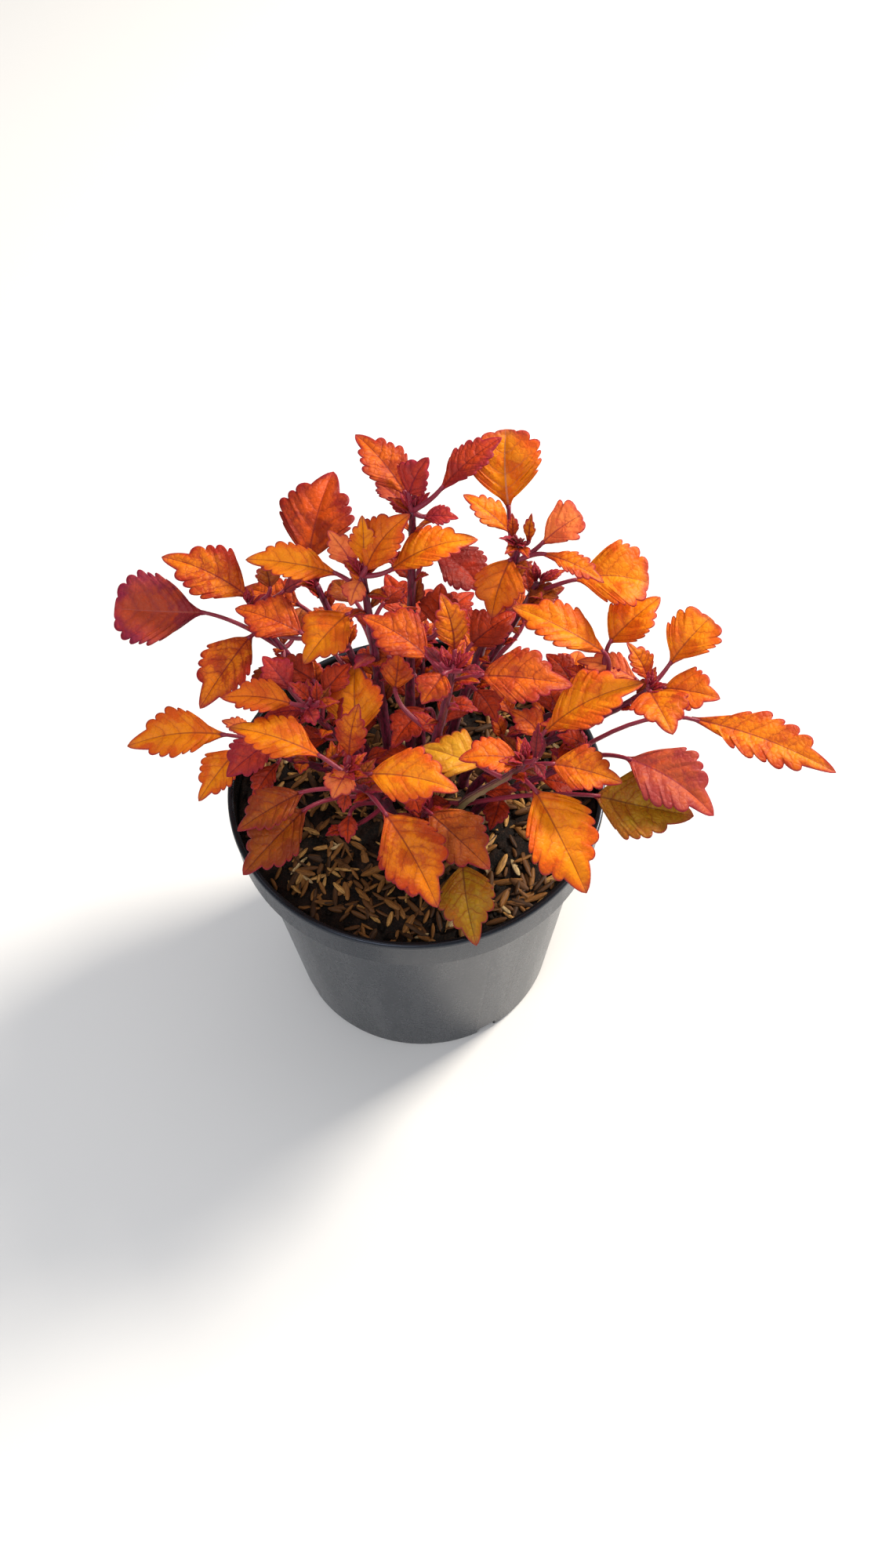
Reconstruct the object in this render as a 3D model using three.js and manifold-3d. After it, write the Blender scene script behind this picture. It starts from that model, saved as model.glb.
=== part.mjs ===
// Coleus in a 15 cm nursery pot. Millimetres, +Z up, origin in the middle of the pot's underside.
//
// The pot is a turned shell, the potting mix fills it, and every leafy stem is one fused solid
// (square stem, leaf stalks and toothed blades) that stands in its own plain hole in the mix.

import * as THREE from 'three';
import { mergeVertices } from 'three/addons/utils/BufferGeometryUtils.js';
import Module from 'manifold-3d';

const wasm = await Module();
wasm.setup();

// ---------------------------------------------------------------- driving dimensions

const POT = {
  height: 120,
  rimRadius: 75,
  collarDepth: 17,
  collarStep: 5,
  baseRadius: 55.5,
  wall: 1.5,
  floor: 2,
  channelRise: 2.5,
  channelInner: 31,
  channelOuter: 49,
  channelSlope: 1.5,
  bead: 3,
  beadEdge: 0.6,
  beadRound: 1,
  lipInset: 2.6,
  collarTaper: 1.2,
  sides: 32,
};

const DRAIN = {
  slots: 4,
  slotWidth: 9,
  slotHeight: 6,
  slotDepth: 12,
  slotTurn: -62,
  holes: 4,
  holeRadius: 3.5,
  holeCircle: 40,
  holeSides: 8,
};

const GAP = 0.3;

const SOIL = {
  level: 109,
  rings: [56, 30],
  ripple: 0.9,
  waves: [9, 11, 6],
  holeSides: 6,
};

const HUSK = { count: 9, length: 9, width: 3, height: 2, tilt: 8, seed: 7, reach: 60, clear: 6 };

const STEM = {
  footHalf: 2.3,
  tipHalf: 1.2,
  depth: 12,
  steps: 5,
  upright: 0.3,
  sway: 0.25,
  nodes: [0.3, 0.42, 0.54, 0.65, 0.75, 0.84, 0.92, 1],
};

// A leaf stalk: its half widths, the length below which it has one step, the slope it would rather
// rise at, how much a far node counts against it, and how far it swings out along the blade.
const STALK = { stemHalf: 1.1, bladeHalf: 0.8, short: 9, slope: 0.5, distance: 0.3, swing: 0.35 };

// Lower leaves: stalk and width as shares of the length, and the angles that stalk and blade rise at.
const LOWER = { stalk: 0.4, width: 0.66, stalkRise: 30, hang: -12 };

// Faces that leave a fused stem's surface by less than this are merged away.
const SLIVER = 0.05;

const BLADE = {
  thickness: 0.7,
  fold: 14,
  arch: 0.1,
  widest: 0.45,
  fullness: 0.8,
  spread: 0.56,
  shoulder: 0.2,
  shoulderWidth: 0.6,
  peak: 1.1,
  dip: 0.84,
  lean: 0.62,
  point: 0.7,
};

// Blades with at least this length (mm) get this many teeth a side, and this many midrib points.
const TEETH = [
  [36, 5, 4],
  [27, 4, 4],
  [21, 3, 3],
  [10, 2, 3],
  [0, 1, 2],
];

const COLOURS = {
  pot: 0x56595e,
  soil: 0x2b211a,
  orange: 0xe07c1c,
  red: 0xb0382a,
  yellow: 0xd8861a,
};

// Each stem: where it stands in the mix, its growing point, and its leaves.
// A leaf is [x, y, z of the blade's base from the growing point, turn, rise, length, width, arch, roll]:
// turn is the compass angle from +X, rise the angle of base to tip above level,
// arch the height of the blade's bow as a share of its length, roll its tilt about its own length.
// A lower leaf is [share of the way up the stem, turn, length].
const STEMS = [
  {
    name: 'stem_back',
    colour: 'orange',
    foot: [-2, 15],
    tip: [3, 24, 248],
    leaves: [
      [-2, 4, 4, 130, 20, 28, 16],
      [-1, 2, 6, 35, 55, 15, 15],
      [10, 1, 9, 30, 25, 27, 13],
      [4, -1, -2, -10, 5, 12, 9],
      [-3, 5, -2, 131, 0, 15, 9],
      [-2, 1, -2, 162, 30, 7, 5],
      [8, 11, -33, -36, -24, 24, 20],
      [8, -8, -53, 85, 26, 17, 14],
    ],
    lower: [[0.5, 75, 24], [0.38, 120, 18]],
  },
  {
    name: 'stem_back_right',
    colour: 'orange',
    foot: [13, 13],
    tip: [40, 19, 235],
    leaves: [
      [-3, 17, 0, 92, 52, 28, 24],
      [-3, 6, 0, 151, 29, 21, 11],
      [-3, -1, -6, -116, -40, 22, 18],
      [8, 2, -2, 20, 30, 17, 16],
      [8, -1, -4, -27, -10, 24, 9],
      [3, -1, 2, 75, 70, 11, 4],
      [-2, 3, 0, 95, 60, 9, 4],
    ],
    lower: [[0.62, 150, 14], [0.42, -60, 16]],
  },
  {
    name: 'stem_mid_left',
    colour: 'orange',
    foot: [-10, 7],
    tip: [-15, 12, 229],
    leaves: [
      [-9, 3, -2, 170, 5, 33, 16],
      [9, -1, 3, 15, 10, 33, 17],
      [1, -1, 4, 34, 39, 25, 19],
      [0, 2, 3, 86, 60, 18, 9],
      [-1, 0, -2, -115, -25, 10, 9],
      [-3, 4, 0, 130, 30, 16, 11],
      [-4, 10, -25, 129, 0, 14, 12],
      [6, 9, -25, 38, 5, 10, 9],
      [-7, 9, -30, -136, -20, 25, 21],
      [7, 0, -45, -165, 0, 12, 9],
    ],
    lower: [[0.5, 200, 20], [0.35, 140, 18]],
  },
  {
    name: 'stem_far_left',
    colour: 'red',
    foot: [-17, 13],
    tip: [-61, 39, 184],
    leaves: [
      [0, 3, 2, 160, 18, 36, 21, 0.1, -15],
      [-17, 1, -4, 176, 2, 35, 29, 0.04, -20],
      [1, -11, -4, -128, -20, 34, 21],
      [21, -16, 2, 156, 5, 28, 20],
      [9, 1, 9, 106, 40, 10, 9],
      [14, -1, 9, 8, 30, 11, 7],
      [3, -2, 2, -40, 30, 6, 4],
    ],
    lower: [[0.7, 80, 20], [0.7, 240, 18]],
  },
  {
    name: 'stem_left',
    colour: 'orange',
    foot: [-12, -2],
    tip: [-37, -14, 190],
    leaves: [
      [-5, -1, 2, 175, 5, 26, 15],
      [-7, 9, -2, 130, 20, 16, 12],
      [2, 14, -4, 145, 0, 20, 14],
      [1, -2, 6, 162, 45, 10, 6],
      [4, -4, 7, 88, 60, 8, 4],
      [5, 8, -4, 44, 20, 15, 11],
      [-2, -1, -2, -175, -10, 15, 10],
      [0, -3, 2, -66, -20, 7, 6],
      [17, 2, -20, 91, 35, 25, 21],
    ],
    lower: [[0.6, 180, 18], [0.45, 90, 18]],
  },
  {
    name: 'stem_front_left',
    colour: 'orange',
    foot: [-9, -14],
    tip: [-24, -40, 184],
    leaves: [
      [-8, 7, 0, 163, 10, 35, 17],
      [8, -1, 0, -15, 0, 33, 20, 0.08, 10],
      [1, -1, 2, -121, -20, 11, 12],
      [2, 2, 6, 66, 60, 21, 11],
      [13, -5, -18, -56, -35, 40, 24],
      [0, 0, -12, -108, -50, 8, 5],
      [-1, 12, -44, -96, -35, 11, 7],
      [-3, 9, -49, -159, 0, 8, 5],
      [-17, 9, -24, -155, -15, 28, 17],
      [-16, 5, -29, -142, -25, 34, 22],
    ],
    lower: [],
  },
  {
    name: 'stem_low_left',
    colour: 'orange',
    foot: [-20, 3],
    tip: [-58, -3, 150],
    leaves: [
      [-14, 7, 0, -174, 0, 38, 19, 0.06, -12],
      [-9, 0, 0, -131, -20, 25, 15],
      [-2, 1, 8, 155, 5, 14, 7],
      [4, -3, 8, -145, -15, 21, 17],
      [6, -3, -5, -133, -30, 18, 9],
    ],
    lower: [[0.75, 100, 20], [0.5, 40, 16]],
  },
  {
    name: 'stem_low_front',
    colour: 'yellow',
    foot: [1, -22],
    tip: [4, -33, 148],
    leaves: [
      [1, -2, 2, -41, -20, 31, 23],
      [13, -12, -18, -82, -20, 32, 20],
      [-14, -6, -3, -71, -20, 27, 18],
      [-6, 2, 12, -61, -40, 10, 9],
    ],
    lower: [[0.5, 350, 12]],
  },
  {
    name: 'stem_centre',
    colour: 'orange',
    foot: [4, -6],
    tip: [15, -26, 222],
    leaves: [
      [-8, 6, 0, 149, 15, 27, 19],
      [1, 3, 6, 110, 54, 21, 11],
      [9, -1, -2, -10, 0, 32, 20, 0.08, 10],
      [-3, -3, 2, -128, -15, 13, 13],
      [3, -2, 2, -12, 10, 8, 4],
      [-4, 0, 4, 140, 30, 8, 4],
      [7, 25, -17, 31, 16, 20, 17],
      [-21, 26, -42, 80, 40, 14, 12],
      [-9, 28, -57, -133, -10, 21, 14],
    ],
    lower: [[0.75, -10, 9], [0.5, 60, 18], [0.35, 0, 16], [0.35, 180, 16]],
  },
  {
    name: 'stem_front_right',
    colour: 'orange',
    foot: [13, -16],
    tip: [40, -38, 184],
    leaves: [
      [-2, 1, 0, -176, 10, 22, 15],
      [9, -1, 0, -17, -5, 26, 17, 0.08, 10],
      [3, -6, -8, -59, -35, 42, 27],
      [3, -3, 6, 76, 70, 15, 4],
      [3, -2, 2, -57, -20, 7, 4],
      [-16, 7, -11, 163, 10, 22, 20],
      [7, 15, -4, 14, 24, 41, 21],
      [26, 2, -25, -13, -5, 37, 27, 0.04, 15],
      [8, 25, -19, 143, 20, 16, 12],
    ],
    lower: [[0.4, 10, 14], [0.3, 190, 12]],
  },
  {
    name: 'stem_far_right',
    colour: 'orange',
    foot: [21, -3],
    tip: [85, -15, 194],
    leaves: [
      [8, 8, 4, 38, 32, 22, 19],
      [5, -1, 2, -24, 10, 21, 17, 0.08, 10],
      [0, -2, 2, -74, 5, 22, 20],
      [0, 2, 3, 133, 45, 16, 9],
    ],
    lower: [[0.6, 100, 18], [0.6, 280, 14], [0.4, 190, 14]],
  },
  {
    name: 'stem_right',
    colour: 'orange',
    foot: [19, 6],
    tip: [72, 4, 176],
    leaves: [
      [0, 3, 12, 155, 15, 39, 19],
      [2, 10, 10, 32, 26, 25, 19],
      [12, -2, 2, 155, 0, 24, 12],
      [-12, 5, -6, 132, 20, 14, 11],
      [-5, 2, -3, 165, 30, 12, 7],
    ],
    lower: [[0.7, 70, 24], [0.5, 110, 20]],
  },
  {
    name: 'stem_low_right',
    colour: 'red',
    foot: [22, -12],
    tip: [66, -20, 164],
    leaves: [
      [37, 9, 7, -26, -3, 56, 17, 0.02, 12],
      [12, -6, 4, -33, -15, 38, 24, 0.08, 10],
      [-2, 1, 2, 165, 20, 12, 8],
    ],
    lower: [[0.55, 350, 16], [0.4, 250, 14]],
  },
  {
    name: 'stem_rear_right',
    colour: 'orange',
    foot: [12, 22],
    tip: [48, 34, 198],
    leaves: [
      [13, -2, 3, -9, 4, 28, 25, 0.08, 15],
      [-4, -7, -6, 25, 12, 16, 12],
      [-4, 10, -26, 120, -15, 26, 15],
      [-14, 2, -30, 170, -10, 24, 15],
    ],
    lower: [[0.6, 60, 26], [0.45, 75, 20]],
  },
  {
    name: 'stem_rear_left',
    colour: 'red',
    foot: [-10, 22],
    tip: [-34, 38, 196],
    leaves: [
      [-3, 6, 7, 72, 24, 36, 28],
      [-8, 6, -18, 150, -10, 28, 16],
      [2, 6, -36, 80, -20, 26, 16],
    ],
    lower: [[0.5, 120, 26], [0.4, 150, 18]],
  },
  {
    name: 'stem_rear',
    colour: 'red',
    foot: [2, 28],
    tip: [4, 46, 152],
    leaves: [
      [-4, 5, 4, 115, 20, 24, 15],
      [5, 5, 0, 50, 0, 26, 15],
      [-8, 4, -18, 165, -20, 28, 17],
      [8, 5, -20, 25, -20, 28, 17],
      [0, 6, -14, 92, -25, 30, 18],
    ],
    lower: [[0.3, 120, 22]],
  },
];

// ---------------------------------------------------------------- solids and meshes

const UP = new THREE.Vector3(0, 0, 1);
const radians = THREE.MathUtils.degToRad;

function toSolid(geometry) {
  const bare = geometry.index ? geometry.toNonIndexed() : geometry.clone();
  bare.deleteAttribute('normal');
  bare.deleteAttribute('uv');
  const merged = mergeVertices(bare, 1e-5);
  const vertProperties = new Float32Array(merged.attributes.position.array);
  const triVerts = new Uint32Array(merged.index.array);
  return new wasm.Manifold(new wasm.Mesh({ numProp: 3, vertProperties, triVerts }));
}

function toMesh(name, solid, look) {
  const { vertProperties, triVerts } = solid.getMesh();
  const geometry = new THREE.BufferGeometry();
  geometry.setAttribute('position', new THREE.BufferAttribute(vertProperties, 3));
  geometry.setIndex(new THREE.BufferAttribute(triVerts, 1));
  geometry.computeVertexNormals();
  const mesh = new THREE.Mesh(geometry, new THREE.MeshStandardMaterial(look));
  mesh.name = name;
  return mesh;
}

function seededRandom(seed) {
  let state = seed;
  return () => {
    state = (state * 16807) % 2147483647;
    return state / 2147483647;
  };
}

// A turned solid about Z from [radius, height] points that start and end on the axis.
function turned(profile, sides) {
  const points = profile.map(([radius, height]) => new THREE.Vector2(radius, height));
  return new THREE.LatheGeometry(points, sides).rotateX(Math.PI / 2);
}

// ---------------------------------------------------------------- pot

// Radius of the pot's outer wall at a height below the collar.
function wallRadius(height) {
  const collarFoot = POT.height - POT.collarDepth;
  const top = POT.rimRadius - POT.collarTaper - POT.collarStep;
  return POT.baseRadius + ((top - POT.baseRadius) * height) / collarFoot;
}

function buildPot() {
  const { height, rimRadius, collarDepth, collarStep, baseRadius, wall, floor } = POT;
  const { channelRise, channelInner, channelOuter, channelSlope } = POT;
  const { bead, beadEdge, beadRound, lipInset } = POT;
  const collarFoot = height - collarDepth;
  const collarRadius = wallRadius(collarFoot) + collarStep;
  const profile = [
    [0, 0],
    [channelInner - channelSlope / 2, 0],
    [channelInner + channelSlope / 2, channelRise],
    [channelOuter - channelSlope / 2, channelRise],
    [channelOuter + channelSlope / 2, 0],
    [baseRadius, 0],
    [wallRadius(collarFoot), collarFoot],
    [collarRadius, collarFoot + beadEdge],
    [rimRadius - beadRound, height - bead - beadEdge],
    [rimRadius, height - bead],
    [rimRadius, height - beadEdge],
    [rimRadius - beadRound, height],
    [rimRadius - lipInset, height - beadEdge],
    [collarRadius - wall, collarFoot + 2 * wall],
    [wallRadius(collarFoot) - wall, collarFoot + wall],
    [wallRadius(floor + channelRise) - wall, floor + channelRise],
    [0, floor + channelRise],
  ];
  let pot = toSolid(turned(profile, POT.sides));
  for (let i = 0; i < DRAIN.slots; i += 1) {
    const slot = new THREE.BoxGeometry(DRAIN.slotDepth, DRAIN.slotWidth, 2 * DRAIN.slotHeight)
      .translate(baseRadius, 0, 0)
      .rotateZ(radians(DRAIN.slotTurn + (360 * i) / DRAIN.slots));
    pot = pot.subtract(toSolid(slot));
  }
  for (let i = 0; i < DRAIN.holes; i += 1) {
    const hole = new THREE.CylinderGeometry(DRAIN.holeRadius, DRAIN.holeRadius, height, DRAIN.holeSides)
      .rotateX(Math.PI / 2)
      .translate(DRAIN.holeCircle, 0, 0)
      .rotateZ(radians((360 * i) / DRAIN.holes));
    pot = pot.subtract(toSolid(hole));
  }
  return pot;
}

// ---------------------------------------------------------------- potting mix

function soilHeight(x, y) {
  const [along, across, fine] = SOIL.waves;
  const broad = Math.sin(x / along) * Math.cos(y / across);
  return SOIL.level + SOIL.ripple * (broad + 0.5 * Math.sin((x + y) / fine));
}

function buildSoil() {
  const { height, collarDepth, collarStep, wall, floor, channelRise } = POT;
  const collarFoot = height - collarDepth;
  const low = floor + channelRise + GAP;
  const inset = wall + GAP;
  const collarInside = wallRadius(collarFoot) + collarStep - inset;
  const profile = [
    [0, low],
    [wallRadius(low) - inset, low],
    [wallRadius(collarFoot) - inset, collarFoot + wall + GAP],
    [collarInside, collarFoot + 2 * wall + GAP],
    [collarInside, SOIL.level],
    ...SOIL.rings.map((radius) => [radius, SOIL.level]),
    [0, SOIL.level],
  ];
  const body = turned(profile, POT.sides);
  const position = body.attributes.position;
  for (let i = 0; i < position.count; i += 1) {
    const x = position.getX(i);
    const y = position.getY(i);
    const inside = Math.hypot(x, y) < SOIL.rings[0] + 1;
    if (inside && position.getZ(i) > SOIL.level - 1) position.setZ(i, soilHeight(x, y));
  }
  let soil = toSolid(body);
  const random = seededRandom(HUSK.seed);
  let laid = 0;
  while (laid < HUSK.count) {
    const distance = HUSK.reach * Math.sqrt(random());
    const bearing = 2 * Math.PI * random();
    const x = distance * Math.cos(bearing);
    const y = distance * Math.sin(bearing);
    const husk = new THREE.OctahedronGeometry(1)
      .scale(HUSK.length / 2, HUSK.width / 2, HUSK.height / 2)
      .rotateY(radians(HUSK.tilt * (2 * random() - 1)))
      .rotateZ(2 * Math.PI * random())
      .translate(x, y, soilHeight(x, y));
    if (STEMS.every(({ foot }) => Math.hypot(foot[0] - x, foot[1] - y) > HUSK.clear + HUSK.length / 2)) {
      soil = soil.add(toSolid(husk));
      laid += 1;
    }
  }
  const holeRadius = (STEM.footHalf + GAP) / Math.cos(Math.PI / SOIL.holeSides);
  const holeDepth = 2 * STEM.depth;
  STEMS.forEach(({ foot }) => {
    const hole = new THREE.CylinderGeometry(holeRadius, holeRadius, holeDepth, SOIL.holeSides)
      .rotateX(Math.PI / 2)
      .translate(foot[0], foot[1], SOIL.level - STEM.depth - GAP + holeDepth / 2);
    soil = soil.subtract(toSolid(hole));
  });
  return soil;
}

// ---------------------------------------------------------------- leafy stems

// The stem above the mix: upright at the foot, then out to the growing point and up again.
function stemCurve({ foot, tip }) {
  const { upright, sway } = STEM;
  const start = new THREE.Vector3(foot[0], foot[1], SOIL.level + 2 * SOIL.ripple);
  const end = new THREE.Vector3(...tip);
  const span = end.clone().sub(start);
  const low = start.clone().addScaledVector(UP, upright * span.z);
  const high = end.clone().sub(new THREE.Vector3(sway * span.x, sway * span.y, upright * span.z));
  return new THREE.CubicBezierCurve3(start, low, high, end);
}

// The four corners of a square section at a point: over, left, under and right of `along`.
function section(point, along, over, half) {
  const left = new THREE.Vector3().crossVectors(over, along).normalize();
  const top = new THREE.Vector3().crossVectors(along, left);
  return [
    point.clone().addScaledVector(top, half),
    point.clone().addScaledVector(left, half),
    point.clone().addScaledVector(top, -half),
    point.clone().addScaledVector(left, -half),
  ];
}

// Faces of the tube between rings of four corners that follow each other in `vertices`.
function tubeFaces(ringCount) {
  const faces = [[0, 1, 2], [0, 2, 3]];
  for (let ring = 1; ring < ringCount; ring += 1) {
    for (let corner = 0; corner < 4; corner += 1) {
      const a = 4 * (ring - 1) + corner;
      const b = 4 * (ring - 1) + ((corner + 1) % 4);
      faces.push([a, b + 4, b], [a, a + 4, b + 4]);
    }
  }
  return faces;
}

function closedGeometry(vertices, faces) {
  const geometry = new THREE.BufferGeometry().setFromPoints(vertices);
  geometry.setIndex(faces.flat());
  return geometry;
}

// The bare square stem: its root in the hole, then tapering rings up to the growing point.
function stemGeometry(stem, curve) {
  const side = new THREE.Vector3(0, 1, 0);
  const root = new THREE.Vector3(stem.foot[0], stem.foot[1], SOIL.level - STEM.depth);
  const vertices = section(root, UP, side, STEM.footHalf);
  for (let step = 0; step <= STEM.steps; step += 1) {
    const share = step / STEM.steps;
    const half = STEM.footHalf + (STEM.tipHalf - STEM.footHalf) * share;
    vertices.push(...section(curve.getPoint(share), curve.getTangent(share), side, half));
  }
  const rings = STEM.steps + 2;
  const last = 4 * (rings - 1);
  return closedGeometry(vertices, [...tubeFaces(rings), [last, last + 2, last + 1], [last, last + 3, last + 2]]);
}

function heading(turn, rise) {
  const flat = Math.cos(radians(rise));
  return new THREE.Vector3(
    flat * Math.cos(radians(turn)),
    flat * Math.sin(radians(turn)),
    Math.sin(radians(rise)),
  );
}

// Half the blade's width at a share of its length, without teeth: 1 at the widest place.
function ovate(share) {
  const { widest, fullness } = BLADE;
  const beyond = fullness * (1 / widest - 1);
  return (share / widest) ** fullness * ((1 - share) / (1 - widest)) ** beyond;
}

function bladeAt(base, turn, rise, length, width, arch = BLADE.arch, roll = 0) {
  const along = heading(turn, rise);
  const level = new THREE.Vector3(-Math.sin(radians(turn)), Math.cos(radians(turn)), 0);
  const side = level.clone().applyAxisAngle(along, radians(roll));
  const over = new THREE.Vector3().crossVectors(along, side);
  const bow = new THREE.Vector3().crossVectors(along, level);
  return { base, along, side, over, bow, length, width, arch };
}

// The blades of a stem: its crown leaves, placed from the growing point, then its lower leaves.
function bladesOf(stem, curve) {
  const crown = stem.leaves.map(([x, y, z, ...shape]) => {
    const base = new THREE.Vector3(stem.tip[0] + x, stem.tip[1] + y, stem.tip[2] + z);
    return bladeAt(base, ...shape);
  });
  const lower = stem.lower.map(([share, turn, length]) => {
    const base = curve.getPoint(share).addScaledVector(heading(turn, LOWER.stalkRise), LOWER.stalk * length);
    return bladeAt(base, turn, LOWER.hang, length, LOWER.width * length);
  });
  return [...crown, ...lower];
}

// A point of the blade: share runs from base to tip, out is the signed distance from the midrib.
function bladePoint(blade, share, out, lift) {
  const { base, along, side, over, bow, length, arch } = blade;
  const fold = Math.tan(radians(BLADE.fold));
  return base.clone()
    .addScaledVector(along, share * length)
    .addScaledVector(bow, 4 * share * (1 - share) * arch * length)
    .addScaledVector(side, out)
    .addScaledVector(over, Math.abs(out) * fold + lift);
}

// One side of the blade's outline from the shoulder to the last notch, as [share, half width].
function toothedSide(teeth, half) {
  const { shoulder, shoulderWidth, lean, peak, dip, point } = BLADE;
  const step = (1 - shoulder) / (teeth + point);
  const points = [[shoulder, half * shoulderWidth]];
  for (let i = 0; i < teeth; i += 1) {
    const tooth = shoulder + (i + lean) * step;
    const notch = shoulder + (i + 1) * step;
    points.push([tooth, half * ovate(tooth) * peak], [notch, half * ovate(notch) * dip]);
  }
  return points;
}

// The leaf stalk: from the stem node whose height suits the blade best, in to the blade's base.
function stalkCurve(curve, blade) {
  const first = blade.along.clone().addScaledVector(blade.bow, 4 * blade.arch).normalize();
  const end = blade.base;
  let start = null;
  let best = Infinity;
  STEM.nodes.forEach((node) => {
    const place = curve.getPoint(node);
    const reach = Math.hypot(end.x - place.x, end.y - place.y);
    const miss = Math.abs(end.z - place.z - STALK.slope * reach) + STALK.distance * reach;
    if (miss < best) {
      best = miss;
      start = place;
    }
  });
  const bend = end.clone().addScaledVector(first, -STALK.swing * end.distanceTo(start));
  return new THREE.QuadraticBezierCurve3(start, bend, end);
}

// One leaf as a closed body: the stalk's rings run on into the blade, whose two skins are
// split into triangles alike above and below.
function leafGeometry(curve, blade) {
  const [, teeth, ribs] = TEETH.find(([least]) => blade.length >= least);
  const stalk = stalkCurve(curve, blade);
  const vertices = [];
  const steps = blade.base.distanceTo(stalk.v0) < STALK.short ? 1 : 2;
  for (let step = 0; step <= steps; step += 1) {
    const share = step / steps;
    const half = STALK.stemHalf + (STALK.bladeHalf - STALK.stemHalf) * share;
    vertices.push(...section(stalk.getPoint(share), stalk.getTangent(share), blade.over, half));
  }
  const faces = tubeFaces(steps + 1);
  const collar = 4 * steps;
  const skin = BLADE.thickness / 2;
  const pair = (share, out) => {
    vertices.push(bladePoint(blade, share, out, skin), bladePoint(blade, share, out, -skin));
    return [vertices.length - 2, vertices.length - 1];
  };
  const middle = [[collar, collar + 2]];
  const outline = toothedSide(teeth, BLADE.spread * blade.width);
  for (let rib = 1; rib < ribs - 1; rib += 1) middle.push(pair(rib / (ribs - 1), 0));
  const point = pair(1, 0);
  middle.push(point);
  [1, -1].forEach((sign) => {
    const corner = sign > 0 ? collar + 1 : collar + 3;
    const edge = [[corner, corner], ...outline.map(([share, out]) => pair(share, sign * out)), point];
    const places = [0, ...outline.map(([share]) => share), 1];
    const add = (a, b, c) => {
      if (a !== b && b !== c && a !== c) faces.push(sign > 0 ? [a, b, c] : [a, c, b]);
    };
    let rib = 0;
    let tooth = 0;
    while (rib < middle.length - 1 || tooth < edge.length - 1) {
      const ribNext = rib < middle.length - 1 ? (rib + 1) / (ribs - 1) : Infinity;
      const toothNext = tooth < edge.length - 1 ? places[tooth + 1] : Infinity;
      const [top, under] = middle[rib];
      const [outTop, outUnder] = edge[tooth];
      if (toothNext <= ribNext) {
        tooth += 1;
        add(top, edge[tooth][0], outTop);
        add(under, outUnder, edge[tooth][1]);
        add(outTop, edge[tooth][0], edge[tooth][1]);
        add(outTop, edge[tooth][1], outUnder);
      } else {
        rib += 1;
        add(top, middle[rib][0], outTop);
        add(under, outUnder, middle[rib][1]);
      }
    }
  });
  return closedGeometry(vertices, faces);
}

// The stem and its leaves as one solid; a pocket sealed between leaves is filled, a loose scrap dropped.
function buildStem(stem) {
  const curve = stemCurve(stem);
  const leaves = bladesOf(stem, curve).map((blade) => toSolid(leafGeometry(curve, blade)));
  const fused = wasm.Manifold.union([toSolid(stemGeometry(stem, curve)), ...leaves]).simplify(SLIVER);
  return fused.decompose().reduce((most, piece) => (piece.volume() > most.volume() ? piece : most));
}

// ---------------------------------------------------------------- the plant in its pot

const plant = new THREE.Group();
plant.add(toMesh('pot', buildPot(), { color: COLOURS.pot, roughness: 0.45, metalness: 0 }));
plant.add(toMesh('soil', buildSoil(), { color: COLOURS.soil, roughness: 0.95, metalness: 0 }));
STEMS.forEach((stem) => {
  const look = { color: COLOURS[stem.colour], roughness: 0.5, metalness: 0 };
  plant.add(toMesh(stem.name, buildStem(stem), look));
});

export default plant;
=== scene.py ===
"""Looks of the coleus in its nursery pot: pot, potting mix and sixteen leafy stems, studio and camera.

Sizes are in millimetres until a piece is finished, which scales it to metres. +Z is up.
"""

import logging
import random
from dataclasses import dataclass, field
from enum import Enum
from math import atan2, cos, exp, hypot, log, pi, radians, sin, sqrt, tan
from typing import Callable

import bmesh
import bpy
from mathutils import Matrix, Vector, noise


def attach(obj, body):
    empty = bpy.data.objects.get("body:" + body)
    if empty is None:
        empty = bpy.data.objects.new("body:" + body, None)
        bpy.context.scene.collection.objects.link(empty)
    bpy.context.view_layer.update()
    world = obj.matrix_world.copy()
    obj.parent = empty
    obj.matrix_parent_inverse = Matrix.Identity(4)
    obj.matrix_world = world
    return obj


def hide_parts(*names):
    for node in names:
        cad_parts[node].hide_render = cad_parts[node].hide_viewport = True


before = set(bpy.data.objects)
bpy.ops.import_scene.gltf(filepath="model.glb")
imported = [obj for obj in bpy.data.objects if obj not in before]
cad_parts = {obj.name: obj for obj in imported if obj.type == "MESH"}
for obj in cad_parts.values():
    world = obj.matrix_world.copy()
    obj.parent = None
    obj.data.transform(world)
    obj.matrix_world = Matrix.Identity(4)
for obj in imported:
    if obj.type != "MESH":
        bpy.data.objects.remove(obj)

logging.basicConfig(level=logging.INFO, format="%(relativeCreated)7d ms  %(message)s")
REPORT = logging.getLogger("coleus")
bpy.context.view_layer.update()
BODY = "root"
METRE = 0.001  # millimetres times this are metres
ROUND = 2 * pi
AXIS_UP = Vector((0, 0, 1))
NO_CREASE = 180.0
MIX_LEVEL = 109.0
MIX_RIPPLE = 0.9
# Pale green of some stems' feet, shown on their undersides: partly their own colour, partly a painted reflection.
PALE_SKIN_AND_REFLECTION = "d0c884"
TEETH = ((24, 5), (12, 4), (7, 3), (0, 2))  # a blade's least length, and its teeth a side from there on


# ---------------------------------------------------------------- nodes of a material


Socket = bpy.types.NodeSocket
Colour = tuple[float, float, float, float]


def linear(code: str) -> Colour:
    """Turns a hexadecimal display colour into the linear colour that shaders use.

    Args:
        code: six hexadecimal digits, red first.

    Returns:
        Linear red, green, blue and an alpha of 1.
    """
    parts = [int(code[i : i + 2], 16) / 255 for i in (0, 2, 4)]
    red, green, blue = [p / 12.92 if p <= 0.04045 else ((p + 0.055) / 1.055) ** 2.4 for p in parts]
    return red, green, blue, 1.0


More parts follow.
